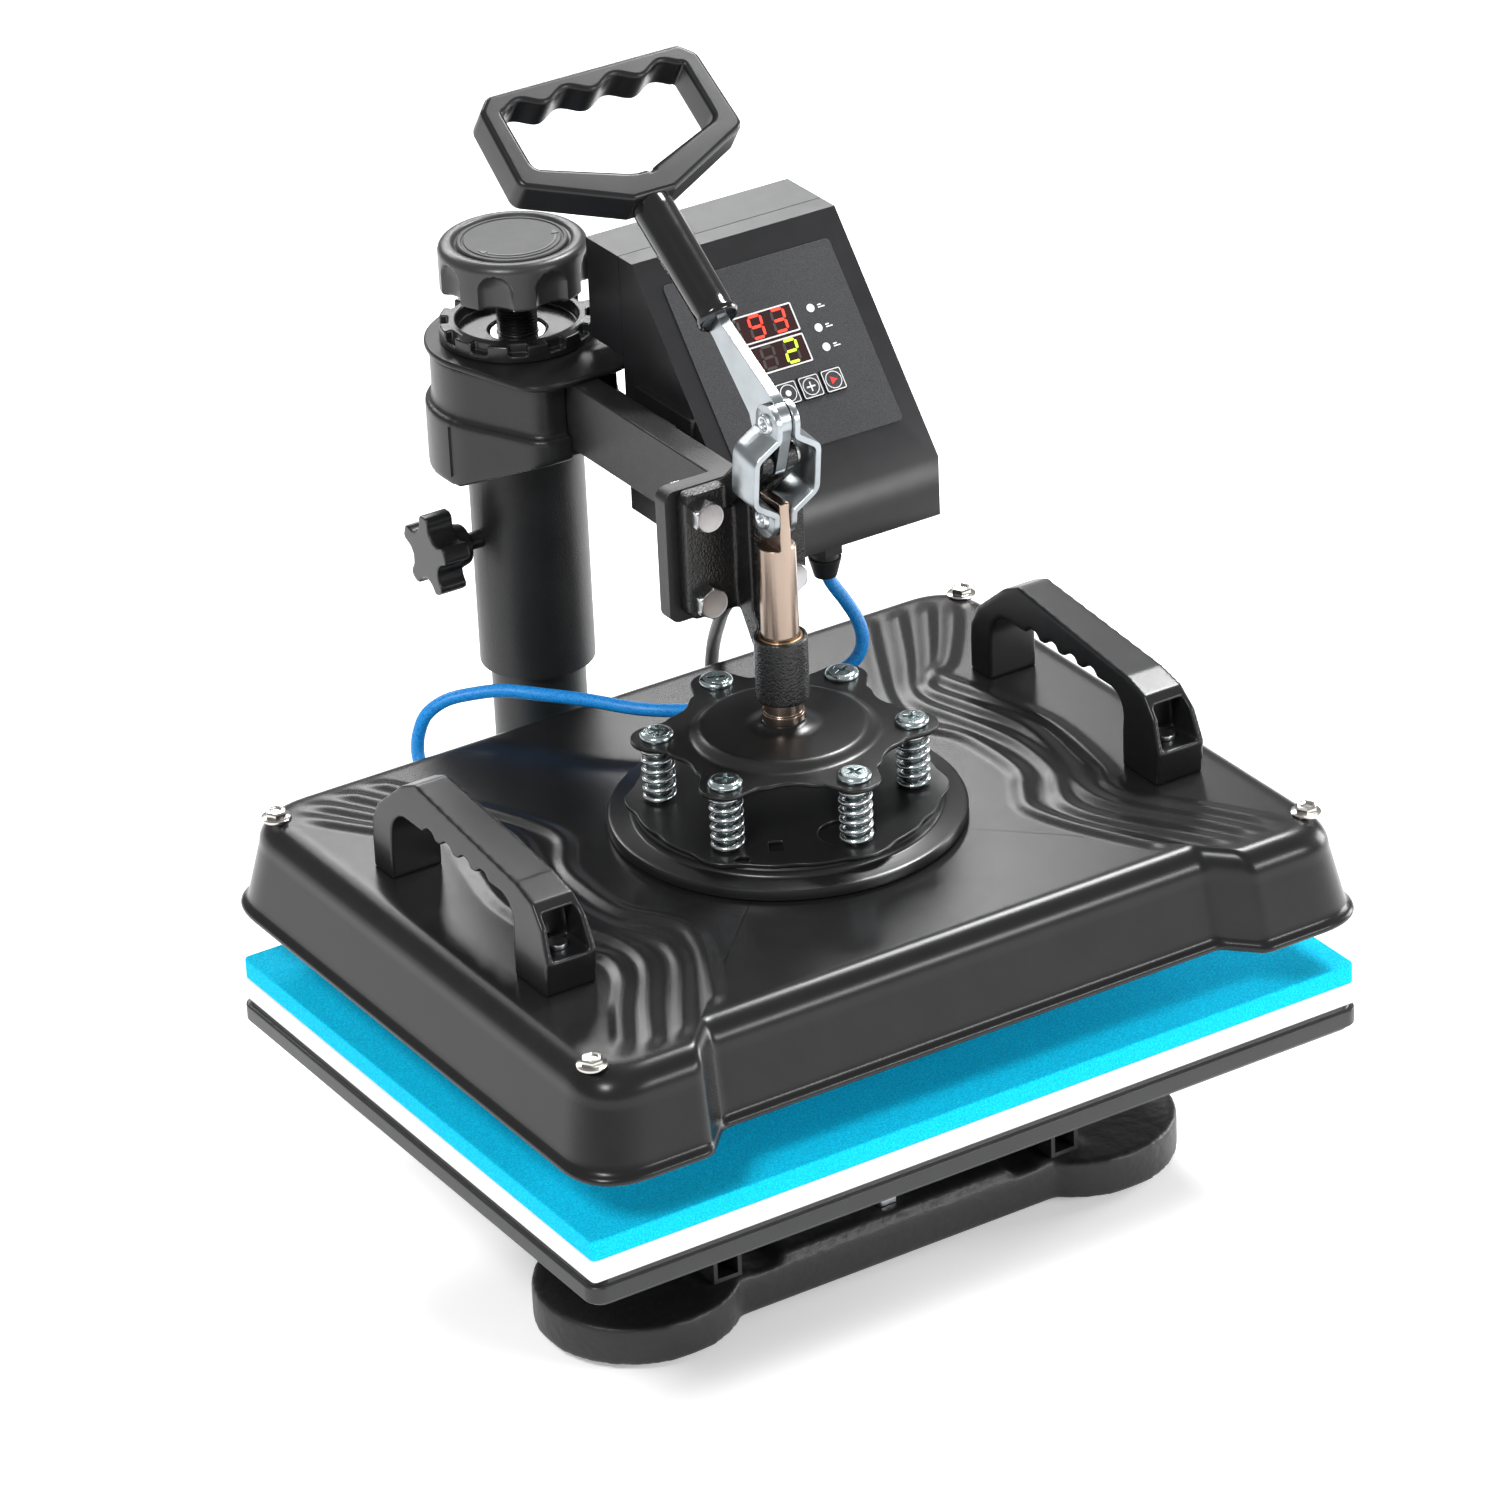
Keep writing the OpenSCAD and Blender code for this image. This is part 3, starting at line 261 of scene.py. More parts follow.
surface("grip_vinyl", (0.006, 0.006, 0.006), 0.16, coat=0.3, grain=0.03)
surface("handle_plastic", (0.009, 0.009, 0.0095), 0.32, grain=0.1, mirror=0.4)
surface("shaft_bronze", (0.34, 0.265, 0.215), 0.24, metal=1, grain=0.1, stretch=(1, 1, 0.2))
surface("plate_black", (0.009, 0.009, 0.009), 0.3, shade=0.06, grain=0.08, grain_size=0.7,
        rough_spread=0.02)
surface("spring_zinc", (0.66, 0.69, 0.7), 0.24, metal=1, grain=0.05)
surface("screw_zinc", (0.5, 0.58, 0.59), 0.22, metal=1, grain=0.05)
surface("cover_black", (0.012, 0.012, 0.0125), 0.26, grain=0.12, grain_size=0.55,
        rough_spread=0.02, mirror=0.27)
surface("nickel", (0.56, 0.54, 0.51), 0.2, metal=1, grain=0.1)
surface("plate_aluminium", (0.66, 0.67, 0.68), 0.35, metal=1, grain=0.2, stretch=(0.1, 1, 1))
surface("element_steel", (0.4, 0.34, 0.3), 0.4, metal=1, grain=0.2)
surface("insulation", (0.72, 0.68, 0.58), 0.95, grain=0.8, grain_size=1.5)
surface("carry_plastic", (0.01, 0.01, 0.0105), 0.3, grain=0.2, mirror=0.42)
surface("box_plastic", (0.015, 0.015, 0.0165), 0.34, grain=0.2, grain_size=0.5, mirror=0.42)
speckled("membrane", (0.024, 0.0245, 0.027), (0.058, 0.059, 0.063), 0.42, 0.45, 0.25)
surface("display", (0.03, 0.008, 0.008), 0.12, coat=0.6, grain=0.03)
speckled("key_cap", (0.024, 0.0245, 0.027), (0.058, 0.059, 0.063), 0.42, 0.45, 0.25)
surface("board_green", (0.03, 0.18, 0.07), 0.4, grain=0.3)
braided("cable_blue", (0.0, 0.17, 0.66), (0.02, 0.42, 0.95))
surface("gland_black", (0.014, 0.014, 0.014), 0.45, grain=0.2)
surface("lead_black", (0.012, 0.012, 0.012), 0.45, grain=0.25, grain_size=0.8)
surface("plug_black", (0.016, 0.016, 0.016), 0.5, grain=0.3)
PRINT_WHITE = surface("print_white", (0.78, 0.78, 0.78), 0.5, shade=0.04, grain=0.1)
LAMP_LENS = surface("lamp_lens", (0.75, 0.75, 0.72), 0.25, shade=0.05, grain=0.1)
DIGIT_RED = surface("digit_red", (1.0, 0.05, 0.03), 0.3, glow=1.6, shade=0.03)
DIGIT_GREEN = surface("digit_green", (0.5, 0.85, 0.05), 0.3, glow=1.2, shade=0.03)
DIGIT_OFF = surface("digit_off", (0.07, 0.065, 0.06), 0.3, shade=0.05)
# printed red icon ink with a faint painted glow: the icon is no lamp
ICON_RED_PAINTED_GLOW = surface("icon_red", (0.7, 0.04, 0.03), 0.4, glow=0.3, shade=0.05)


# ---- geometry helpers


def extra(piece, node, material=None):
    """Puts an added piece on a node's body, with the node's material unless another is given."""
    piece.data.materials.clear()
    piece.data.materials.append(material or MATERIALS[SLOT_OF[node]])
    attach(piece, BODY_OF[node])
    return piece


def settle(piece, node):
    """Puts a new piece on its node's body, in place of the node."""
    extra(piece, node)
    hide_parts(node)
    return piece


def placed(pieces, node):
    """Puts a node's new pieces on its body: the first one stands for the node."""
    settle(pieces[0], node)
    for piece in pieces[1:]:
        extra(piece, node)


def shade(mesh, angle=35):
    """Smooth shading, with edges sharper than the angle kept crisp."""
    for polygon in mesh.polygons:
        polygon.use_smooth = True
    mesh.set_sharp_from_angle(angle=math.radians(angle))


def reworked(mesh, weld=0.0, flat=False, closed=False):
    """Welds a mesh, joins up its flat faces or closes its holes, and turns its faces outward."""
    work = bmesh.new()
    work.from_mesh(mesh)
    if weld:
        bmesh.ops.remove_doubles(work, verts=work.verts, dist=weld)
    if flat:
        bmesh.ops.dissolve_limit(
            work, angle_limit=math.radians(0.5), verts=work.verts, edges=work.edges
        )
    if closed:
        bmesh.ops.holes_fill(work, edges=[e for e in work.edges if e.is_boundary], sides=0)
    bmesh.ops.recalc_face_normals(work, faces=work.faces)
    work.to_mesh(mesh)
    work.free()


def band_faces(rows, count, closed=False):
    """Faces between neighbouring rings of points, and from the last to the first if closed."""
    faces = []
    for row in range(rows if closed else rows - 1):
        here, after = row * count, (row + 1) % rows * count
        for k in range(count):
            beside = (k + 1) % count
            faces.append((here + k, here + beside, after + beside, after + k))
    return faces


def from_faces(name, points, faces, angle=35):
    mesh = bpy.data.meshes.new(name)
    mesh.from_pydata([tuple(p) for p in points], [], faces)
    reworked(mesh)
    shade(mesh, angle)
    return link(name, mesh)


def worked_in(piece):
    """The piece with its modifiers worked into its mesh."""
    bpy.context.view_layer.update()
    graph = bpy.context.evaluated_depsgraph_get()
    mesh = bpy.data.meshes.new_from_object(piece.evaluated_get(graph))
    piece.modifiers.clear()
    piece.data = mesh
    return piece


def flat_kept(piece):
    """Large faces keep their own normals where a small rounded edge meets them."""
    even = piece.modifiers.new("even", "WEIGHTED_NORMAL")
    even.mode = "FACE_AREA"
    even.weight = 100
    even.keep_sharp = True
    return worked_in(piece)


def applied(piece, angle=35):
    """The piece with its modifiers worked in and its faces shaded smooth."""
    shade(worked_in(piece).data, angle)
    return piece


def copied(node):
    """A welded copy of a node's mesh, its flat faces joined up."""
    mesh = frame["nodes"][node].data.copy()
    reworked(mesh, 0.00001, flat=True)
    mesh.name = node
    return link("v_" + node, mesh)


def refined(node, width, segments=2, angle=32):
    """A node's shape with its edges rounded over."""
    piece = copied(node)
    bevel = piece.modifiers.new("edges", "BEVEL")
    bevel.width = width * MM
    bevel.segments = segments
    bevel.limit_method = "ANGLE"
    bevel.angle_limit = math.radians(angle)
    bevel.use_clamp_overlap = True
    bevel.miter_outer = "MITER_ARC"
    return settle(flat_kept(applied(piece)), node)


def moulded(node, voxel, passes, reshape=None):
    """A node's shape as one smooth casting: remeshed, and its edges softened."""
    piece = copied(node)
    remesh = piece.modifiers.new("skin", "REMESH")
    remesh.mode = "VOXEL"
    remesh.voxel_size = voxel * MM
    smooth = piece.modifiers.new("soft", "SMOOTH")
    smooth.factor = 0.5
    smooth.iterations = passes
    applied(piece, 60)
    if reshape:
        for vertex in piece.data.vertices:
            vertex.co = reshape(vertex.co.copy())
    return settle(piece, node)


def rounded(points, radii, steps=6):
    """A closed outline whose corners are rounded; radii is one number or one for each point."""
    if not hasattr(radii, "__len__"):
        radii = [radii] * len(points)
    out = []
    for i, point in enumerate(points):
        here = Vector(point)
        before = Vector(points[i - 1]) - here
        after = Vector(points[(i + 1) % len(points)]) - here
        angle = max(0.01, before.angle(after))
        reach = min(radii[i] / math.tan(angle / 2), before.length * 0.48, after.length * 0.48)
        if reach < 1e-6 or angle > math.pi - 0.01:
            out.append(here)
            continue
        a, b = here + before.normalized() * reach, here + after.normalized() * reach
        for k in range(steps + 1):
            t = k / steps
            out.append((1 - t) ** 2 * a + 2 * t * (1 - t) * here + t * t * b)
    return out


def rectangle(x0, y0, x1, y1, radius):
    return rounded([(x0, y0), (x1, y0), (x1, y1), (x0, y1)], radius)


def cross(arm, half):
    """Outline of a plus sign: one corner's three points, turned four times."""
    points = [(-arm, -half), (-half, -half), (-half, -arm)]
    for _ in range(3):
        points += [(-y, x) for x, y in points[-3:]]
    return points


def moved(x, y, z):
    """A shift, given in mm."""
    return Matrix.Translation(Vector((x, y, z)) * MM)


def rotated(degrees, axis):
    return Matrix.Rotation(math.radians(degrees), 4, axis)


def circle(x, y, radius, sides=48):
    return [
        Vector((x + radius * math.cos(2 * math.pi * k / sides),
                y + radius * math.sin(2 * math.pi * k / sides)))
        for k in range(sides)
    ]


def plate(name, loops, low, high, edge, matrix=None, angle=35):
    """A flat plate from outlines in its own plane, between two heights, its edges rounded."""
    curve = bpy.data.curves.new(name, "CURVE")
    curve.dimensions = "2D"
    curve.fill_mode = "BOTH"
    curve.bevel_depth = edge * MM
    curve.bevel_resolution = 2
    curve.offset = -edge * MM
    curve.extrude = max(0.0, (high - low) / 2 - edge) * MM
    for loop in loops:
        spline = curve.splines.new("POLY")
        spline.points.add(len(loop) - 1)
        for point, place in zip(spline.points, loop):
            point.co = (place[0] * MM, place[1] * MM, 0, 1)
        spline.use_cyclic_u = True
    holder = link(name + "_outline", curve)
    bpy.context.view_layer.update()
    graph = bpy.context.evaluated_depsgraph_get()
    mesh = bpy.data.meshes.new_from_object(holder.evaluated_get(graph))
    bpy.data.objects.remove(holder)
    mesh.transform(Matrix.Translation((0, 0, (low + high) / 2 * MM)))
    if matrix is not None:
        mesh.transform(matrix)
    reworked(mesh, 0.000002, flat=True)
    shade(mesh, angle)
    return flat_kept(link(name, mesh))


def lathe(name, profile, centre=(0, 0, 0), sides=64, angle=35, shape=None):
    """A turned piece about a vertical axis; centre and profile's (radius, height) are in mm.

    shape, if given, changes the radius by the turn's angle and the profile's point."""
    points = []
    for radius, height in profile:
        for k in range(sides):
            turn = 2 * math.pi * k / sides
            r = shape(turn, radius, height) if shape else radius
            points.append(
                (Vector(centre) + Vector((r * math.cos(turn), r * math.sin(turn), height))) * MM
            )
    piece = from_faces(name, points, band_faces(len(profile), sides), angle)
    reworked(piece.data, 0.000004, closed=True)
    shade(piece.data, angle)
    return piece


def arc(x, z, radius, start, end, steps=5):
    """Points of a profile's round edge, angles in degrees."""
    return [
        (x + radius * math.cos(math.radians(start + (end - start) * k / steps)),
         z + radius * math.sin(math.radians(start + (end - start) * k / steps)))
        for k in range(steps + 1)
    ]


def swept(points, radius, sides):
    """Vertices and faces of a round tube along a list of points, in metres."""
    verts, normal = [], None
    for i, point in enumerate(points):
        ahead = (points[min(i + 1, len(points) - 1)] - points[max(i - 1, 0)]).normalized()
        if normal is None:
            normal = ahead.orthogonal().normalized()
        normal = (normal - ahead * normal.dot(ahead)).normalized()
        across = ahead.cross(normal)
        for k in range(sides):
            turn = 2 * math.pi * k / sides
            verts.append(point + radius * (math.cos(turn) * normal + math.sin(turn) * across))
    faces = band_faces(len(points), sides)
    faces.append(tuple(reversed(range(sides))))
    faces.append(tuple(range(len(verts) - sides, len(verts))))
    return verts, faces


def tube(name, points, radius, sides, angle=35):
    return from_faces(name, *swept(points, radius, sides), angle)


def smooth_route(points, steps):
    """Points on a smooth curve through a route's own points."""
    points = [Vector(p) * MM for p in points]
    out = []
    for i in range(len(points) - 1):
        a, b, c = points[max(i - 1, 0)], points[i], points[i + 1]
        d = points[min(i + 2, len(points) - 1)]
        for k in range(steps):
            t = k / steps
            out.append(
                0.5 * (2 * b + (c - a) * t + (2 * a - 5 * b + 4 * c - d) * t * t
                       + (3 * b - a - 3 * c + d) * t ** 3)
            )
    return out + [points[-1]]


# ---- cords

HEATER_ROUTE = [
    (70, 74, 252), (72, 72, 246), (76, 68, 238), (79, 64, 230), (80, 62, 222),
    (78, 62, 214), (72, 64, 208), (62, 68, 204), (48, 72, 201), (34, 76, 200),
    (18, 80, 199), (2, 86, 200), (-14, 98, 201), (-28, 116, 202), (-40, 134, 201),
    (-52, 148, 201), (-62, 157, 199), (-72, 164, 196), (-80, 168, 190), (-84, 169, 182),
    (-86, 168, 174), (-87, 164, 167), (-88, 160, 163),
]
MAINS_ROUTE = [
    (46, 100, 252), (46, 102, 244), (47, 108, 236), (49, 120, 226), (53, 134, 213),
    (58, 146, 201), (62, 156, 190), (65, 164, 178), (68, 171, 162), (71, 177, 142),
    (75, 184, 120), (80, 192, 98), (86, 200, 78), (93, 209, 60), (102, 219, 43),
    (113, 231, 28), (124, 243, 16), (134, 256, 9), (143, 270, 5), (150, 285, 4),
    (156, 300, 4), (159, 315, 4), (160, 330, 4),
]
# The coil's turns, by their radii, and the tail from its last turn to the plug.
TAIL_ROUTE = [(108, 373, 10.5), (98, 374, 10.5), (88, 375, 10.5)]
COIL_CENTRE = (117, 330)
COIL_RADII = [43, 36.5, 30, 30, 36.5, 43]
COIL_TURNS = 5.25
TURN_POINTS = 16
LEAD_RADIUS = 3.15


def coil_points():
    """The coil's turns: three inward on the table, then outward on top of them."""
    table, layer, change_at = 4, 6.5, 0.75
    points = []
    for k in range(1, int(COIL_TURNS * TURN_POINTS) + 1):
        turn, share = divmod(k / TURN_POINTS, 1)
        turn = int(turn)
        change = max(0.0, (share - change_at) / (1 - change_at))
        change = change * change * (3 - 2 * change)
        after = COIL_RADII[min(turn + 1, 5)]
        radius = COIL_RADII[turn] + (after - COIL_RADII[turn]) * change
        lift = layer * (1.0 if turn > 2 else change if turn == 2 else 0.0)
        angle = 2 * math.pi * share
        points.append((COIL_CENTRE[0] + radius * math.cos(angle),
                       COIL_CENTRE[1] + radius * math.sin(angle), table + lift))
    return points


def make_mains_lead():
    curve = bpy.data.curves.new("mains_lead", "CURVE")
    curve.dimensions = "3D"
    curve.bevel_depth = LEAD_RADIUS * MM
    curve.bevel_resolution = 3
    curve.resolution_u = 6
    curve.use_fill_caps = True
    points = MAINS_ROUTE + coil_points() + TAIL_ROUTE
    spline = curve.splines.new("BEZIER")
    spline.bezier_points.add(len(points) - 1)
    for knot, place in zip(spline.bezier_points, points):
        knot.co = Vector(place) * MM
        knot.handle_left_type = knot.handle_right_type = "AUTO"
    lead = link("v_mains_lead", curve)
    settle(lead, "mains_lead")
    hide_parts("lead_coil")
    plug = make_plug()


def make_plug():
    """Two-pin plug with a ribbed strain relief, lying with its pins towards -X."""
    ribs = []
    for k in range(5):
        grown, start = 0.28 * k, 3.0 * k
        ribs += [(4.3 + grown, start), (4.9 + grown, start + 0.5),
                 (4.9 + grown, start + 1.9), (4.3 + grown, start + 2.4)]
    relief = lathe("v_plug_relief", [(3.2, 0)] + ribs + [(6, 16.5), (2, 16.6)], sides=32)
    body = plate("v_plug_body", [rectangle(-9.5, -13, 9.5, 13, 5)], 16, 42, 2.0)
    face = plate("v_plug_face", [rectangle(-7.5, -11, 7.5, 11, 4)], 41.5, 45, 0.5)
    outline = rectangle(-3.2, 44, 3.2, 61, [0, 0, 1.6, 1.6])
    pins = [
        plate("v_plug_pin_" + side, [outline], -0.75, 0.75, 0.2, moved(0, y, 0) @ rotated(90, "X"))
        for side, y in (("a", -6.35), ("b", 6.35))
    ]
    for piece in (relief, body, face, *pins):
        piece.data.transform(moved(88, 375, 10.5) @ rotated(-90, "Y"))
    placed([body, relief, face], "mains_plug")
    for pin in pins:
        extra(pin, "mains_plug", MATERIALS["zinc"])
    return [body, relief, face, *pins]


def make_heater_cable():
    path = smooth_route(HEATER_ROUTE, 8)
    cable = tube("v_heater_cable", path, 3 * MM, 16, 60)
    cable.data.materials.append(MATERIALS["cable_blue"])
    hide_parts("heater_cable")
    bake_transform(cable)
    grommet = lathe("v_cable_grommet", [(3.1, -3), (4.6, -3), (5.6, -2), (5.8, 0), (5.2, 1.6),
                                        (3.1, 2)], sides=32)
    grommet.data.transform(moved(-88, 154.5, 160.5) @ rotated(-60, "X"))
    extra(grommet, "head_cover", MATERIALS["gland_black"])


# ---- base and platen


def make_base():
    moulded("base_frame", 1.8, 10)
    refined("rubber_feet", 0.6)
    refined("support_rails", 1.6, 3)
    refined("rail_screws", 0.5)
    refined("platen_studs", 0.5)
    refined("lower_platen", 1.8, 3, 20)
    for node, edge in (("silicone_pad", 0.9), ("foam_sheet", 0.7)):
        low, high = (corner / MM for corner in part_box(node))
        outline = rectangle(low.x, low.y, high.x, high.y, 3)
        pad = plate("v_" + node, [outline], low.z, high.z, edge)
        settle(pad, node)


def make_column():
    refined("column_post", 0.6)
    refined("outer_tube", 0.8, 3)
    for node, width in (("post_bolts", 0.6), ("post_cap", 0.5), ("lift_nut", 0.5),
                        ("thrust_washer", 0.3)):
        refined(node, width)
    make_stem()
    make_knob()
    moulded("column_shroud", 1.1, 5)
    make_seam()
    moulded("clamp_knob", 0.7, 3)
    refined("saddle_cap", 1.1, 3)
    refined("lock_ring", 0.9, 3)


def make_stem():
    """Black threaded stem: a shallow thread along its length."""
    low, high = (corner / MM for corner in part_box("pressure_stem"))
    crest, root, pitch = 9.0, 8.3, 1.5
    profile = [(0, low.z)]
    height = low.z
    while height < high.z - 1.6:
        profile += [(crest, height + 0.1), (crest, height + 0.5), (root, height + 0.9)]
        height += pitch
    profile += [(crest, high.z - 0.2), (8.0, high.z), (0, high.z)]
    settle(lathe("v_pressure_stem", profile, (0, COLUMN_Y, 0)), "pressure_stem")


KNOB_PLACE = (0, COLUMN_Y, 354)


def make_knob():
    """Pressure knob: eight flutes that end in arches under the rounded top edge."""
    top, outside, round_edge = 28, 33, 4
    flute_top, flute_half, flute_deep, arch_high = 23.4, 7.8, 4.4, 8
    spacing = math.pi / 4
    profile = [(0, 0), (9.5, 0), (11.2, 0.6), (13, 3), (15.4, 5.6), (30.5, 6.2), (32.2, 6.7)]
    profile += [(outside, 7.6 + 16.4 * k / 24) for k in range(25)]
    profile += arc(outside - round_edge, top - round_edge, round_edge, 8, 90, 7)
    profile += [(27.2, top), (26.4, 27.6), (26.0, 26.6), (25.4, 26.2), (0, 26.2)]

    def flute(turn, radius, height):
        if radius < 28 or height > flute_top + 0.2:
            return radius
        across = outside * math.sin((turn + spacing / 2) % spacing - spacing / 2)
        half, below = flute_half, flute_top - height
        if below < arch_high:
            half *= math.sqrt(max(0.0, min(1.0, 1 - (1 - below / arch_high) ** 2)))
        if half < 0.2 or abs(across) > half:
            return radius
        fade = min(1.0, half / flute_half)
        return radius - flute_deep * math.sqrt(1 - (across / half) ** 2) * fade

    settle(lathe("v_pressure_knob", profile, KNOB_PLACE, 384, 50, flute), "pressure_knob")
    badge = [(0, 26.25), (24.4, 26.25), (24.4, 27.2), (23.9, 27.7), (22.6, 27.8),
             (22.2, 27.35), (21.6, 27.35), (21.2, 27.8), (0, top)]
    settle(lathe("v_knob_badge", badge, KNOB_PLACE, 96), "knob_badge")
    make_turn_arrow(top)


def make_turn_arrow(top):
    """Raised double-headed arrow round the badge, for the direction of turning."""
    def bow(radius, angles):
        return [(radius * math.cos(math.radians(a)), radius * math.sin(math.radians(a)))
                for a in angles]

    start, end, step = 205, 335, 5
    outer, inner = 19.4, 18.5
    loops = [bow(outer, range(start, end + 1, step)) + bow(inner, range(end, start - 1, -step))]
    for tip, sign in ((end + step, 1), (start - step, -1)):
        head = [((outer + inner) / 2, 3.6 * sign), (20.6, -0.6 * sign), (17.3, -0.6 * sign)]
        loops.append([Matrix.Rotation(math.radians(tip), 2) @ Vector(p) for p in head])
    for index, loop in enumerate(loops):
        arrow = plate("v_turn_arrow_%d" % index, [loop], top - 0.4, top + 0.1, 0.1,
                      moved(*KNOB_PLACE))
        extra(arrow, "knob_badge", MATERIALS["knob_plastic"])


def make_seam():
    """Fine parting bead down the shroud's left side."""
    path = [Vector((-42.4, COLUMN_Y - 8, z)) * MM for z in range(282, 308, 2)]
    extra(tube("v_shroud_seam", path, 0.35 * MM, 8), "column_shroud")


# ---- arm, lever and links


def make_arm():
    refined("arm_beam", 1.3, 3)
    refined("beam_flange", 1.2, 3)
    moulded("head_casting", 0.8, 3)
    make_head_bolts()
    refined("shaft_bushes", 0.5)
    refined("pivot_pin", 0.5)
    for index, side in enumerate((-1, 1)):
        path = [Vector((side * 7.2, 39.4, z)) * MM for z in range(303, 334, 2)]
        extra(tube("v_beam_weld_%d" % index, path, 1.5 * MM, 10, 60), "arm_beam")


def make_head_bolts():
    """Hexagon bolts with chamfered heads, and their nuts, through the casting's ears."""
    def hexagon(turn, radius, height):
        folded = (turn + math.pi / 6) % (math.pi / 3) - math.pi / 6
        return min(radius, half_flats / math.cos(folded))

    half_flats, grip = 6.5, 22.5
    head = [(0, 0), (7.4, 0), (7.5, 0.3), (7.5, 4.5), (6.9, 5.1), (6.2, 5.5), (5.6, 5.4), (0, 5.35)]
    nut = [(4, 0), (6.9, 0), (7.5, 0.6), (7.5, 5.8), (6.9, 6.4), (4, 6.4)]
    shank = [(0, -24), (4, -24), (4, 0.2), (0, 0.2)]
    pieces = []
    for side in (-1, 1):
        for along in (285, 325):
            name = "%d_%d" % (side + 1, along)
            bolt = [lathe("v_bolt_head_" + name, head, sides=96, angle=25, shape=hexagon),
                    lathe("v_bolt_shank_" + name, shank, sides=32),
                    lathe("v_bolt_nut_" + name, nut, sides=96, angle=25, shape=hexagon)]
            bolt[-1].data.transform(moved(0, 0, -grip) @ rotated(30, "Z"))
            for piece in bolt:
                piece.data.transform(moved(side * 20, 24, along) @ rotated(90, "X"))
            pieces += bolt
    placed(pieces, "head_bolts")


GRIP_START = Vector((0, 37, 403.5))
GRIP_DIR = Vector((0, 52, 35.6)).normalized()
GRIP_LENGTH = 62


def grip_matrix():
    """Turns +Z onto the lever's grip and starts at its lower end."""
    angle = math.atan2(GRIP_DIR.z, GRIP_DIR.y) - math.pi / 2
    return Matrix.Translation(GRIP_START * MM) @ Matrix.Rotation(angle, 4, "X")


def make_lever():
    refined("lever_bar", 0.9, 3)
    profile = [(0, 0.6), (6.5, 0.6), (8.2, 0.0), (9.2, 0.9), (9.3, 2.6), (8.8, 3.6), (8.7, 8)]
    profile += [(8.7 + 0.3 * k / 6, 8 + 8 * k) for k in range(1, 7)]
    profile += [(9.0, 60.5), (8.6, 61.6), (7.4, GRIP_LENGTH), (0, GRIP_LENGTH)]
    grip = lathe("v_lever_grip", profile, sides=64, angle=50)
    grip.data.transform(grip_matrix())
    settle(grip, "lever_grip")
    make_handle()


def make_handle():
    """D handle with four finger scallops in its bar and a notch over the neck."""
    outer = rounded(
        [(-10, -0.5), (10, -0.5), (55, 20), (53.5, 60), (47, 66.4), (-47, 66.4), (-53.5, 60),
         (-55, 20)],
        [2, 2, 6, 6, 5, 5, 6, 6],
    )
    right = [(7.5, 13.3), (44.5, 27), (44.5, 56.4)]
    left = [(-x, y) for x, y in reversed(right)]
    reach, steps, bar, scallop, pitch = 42.5, 68, 57.7, 2.3, 23.4
    places = [reach * (1 - 2 * k / steps) for k in range(steps + 1)]
    wave = [(x, bar - scallop * math.cos(2 * math.pi * x / pitch)) for x in places]
    notch = [(-5, 12.6), (-2.6, 12.0), (2.2, 12.0), (3.4, 11.0), (5.2, 11.4), (6.0, 12.6)]
    radii = [1.5, 5, 1.4] + [0] * len(wave) + [1.4, 5, 1.5] + [0.4] * len(notch)
    hole = rounded(right + wave + left + notch, radii, 4)
    half, edge = 8.5, 2.3
    matrix = grip_matrix() @ moved(0, 0, GRIP_LENGTH) @ rotated(90, "X")
    settle(plate("v_lever_handle", [outer, hole], -half, half, edge, matrix), "lever_handle")


CRANK_Y, CRANK_Z, SHAFT_PIN_Z = -5.7, 373.2, 328
LINK_LENGTH = math.hypot(CRANK_Y, CRANK_Z - SHAFT_PIN_Z)
LINK_ANGLE = math.asin(-CRANK_Y / LINK_LENGTH)


def link_matrix():
    """Puts the crank pin's eye at the crank pin, and the other towards the shaft's pin."""
    return moved(0, CRANK_Y, CRANK_Z) @ Matrix.Rotation(LINK_ANGLE, 4, "X")


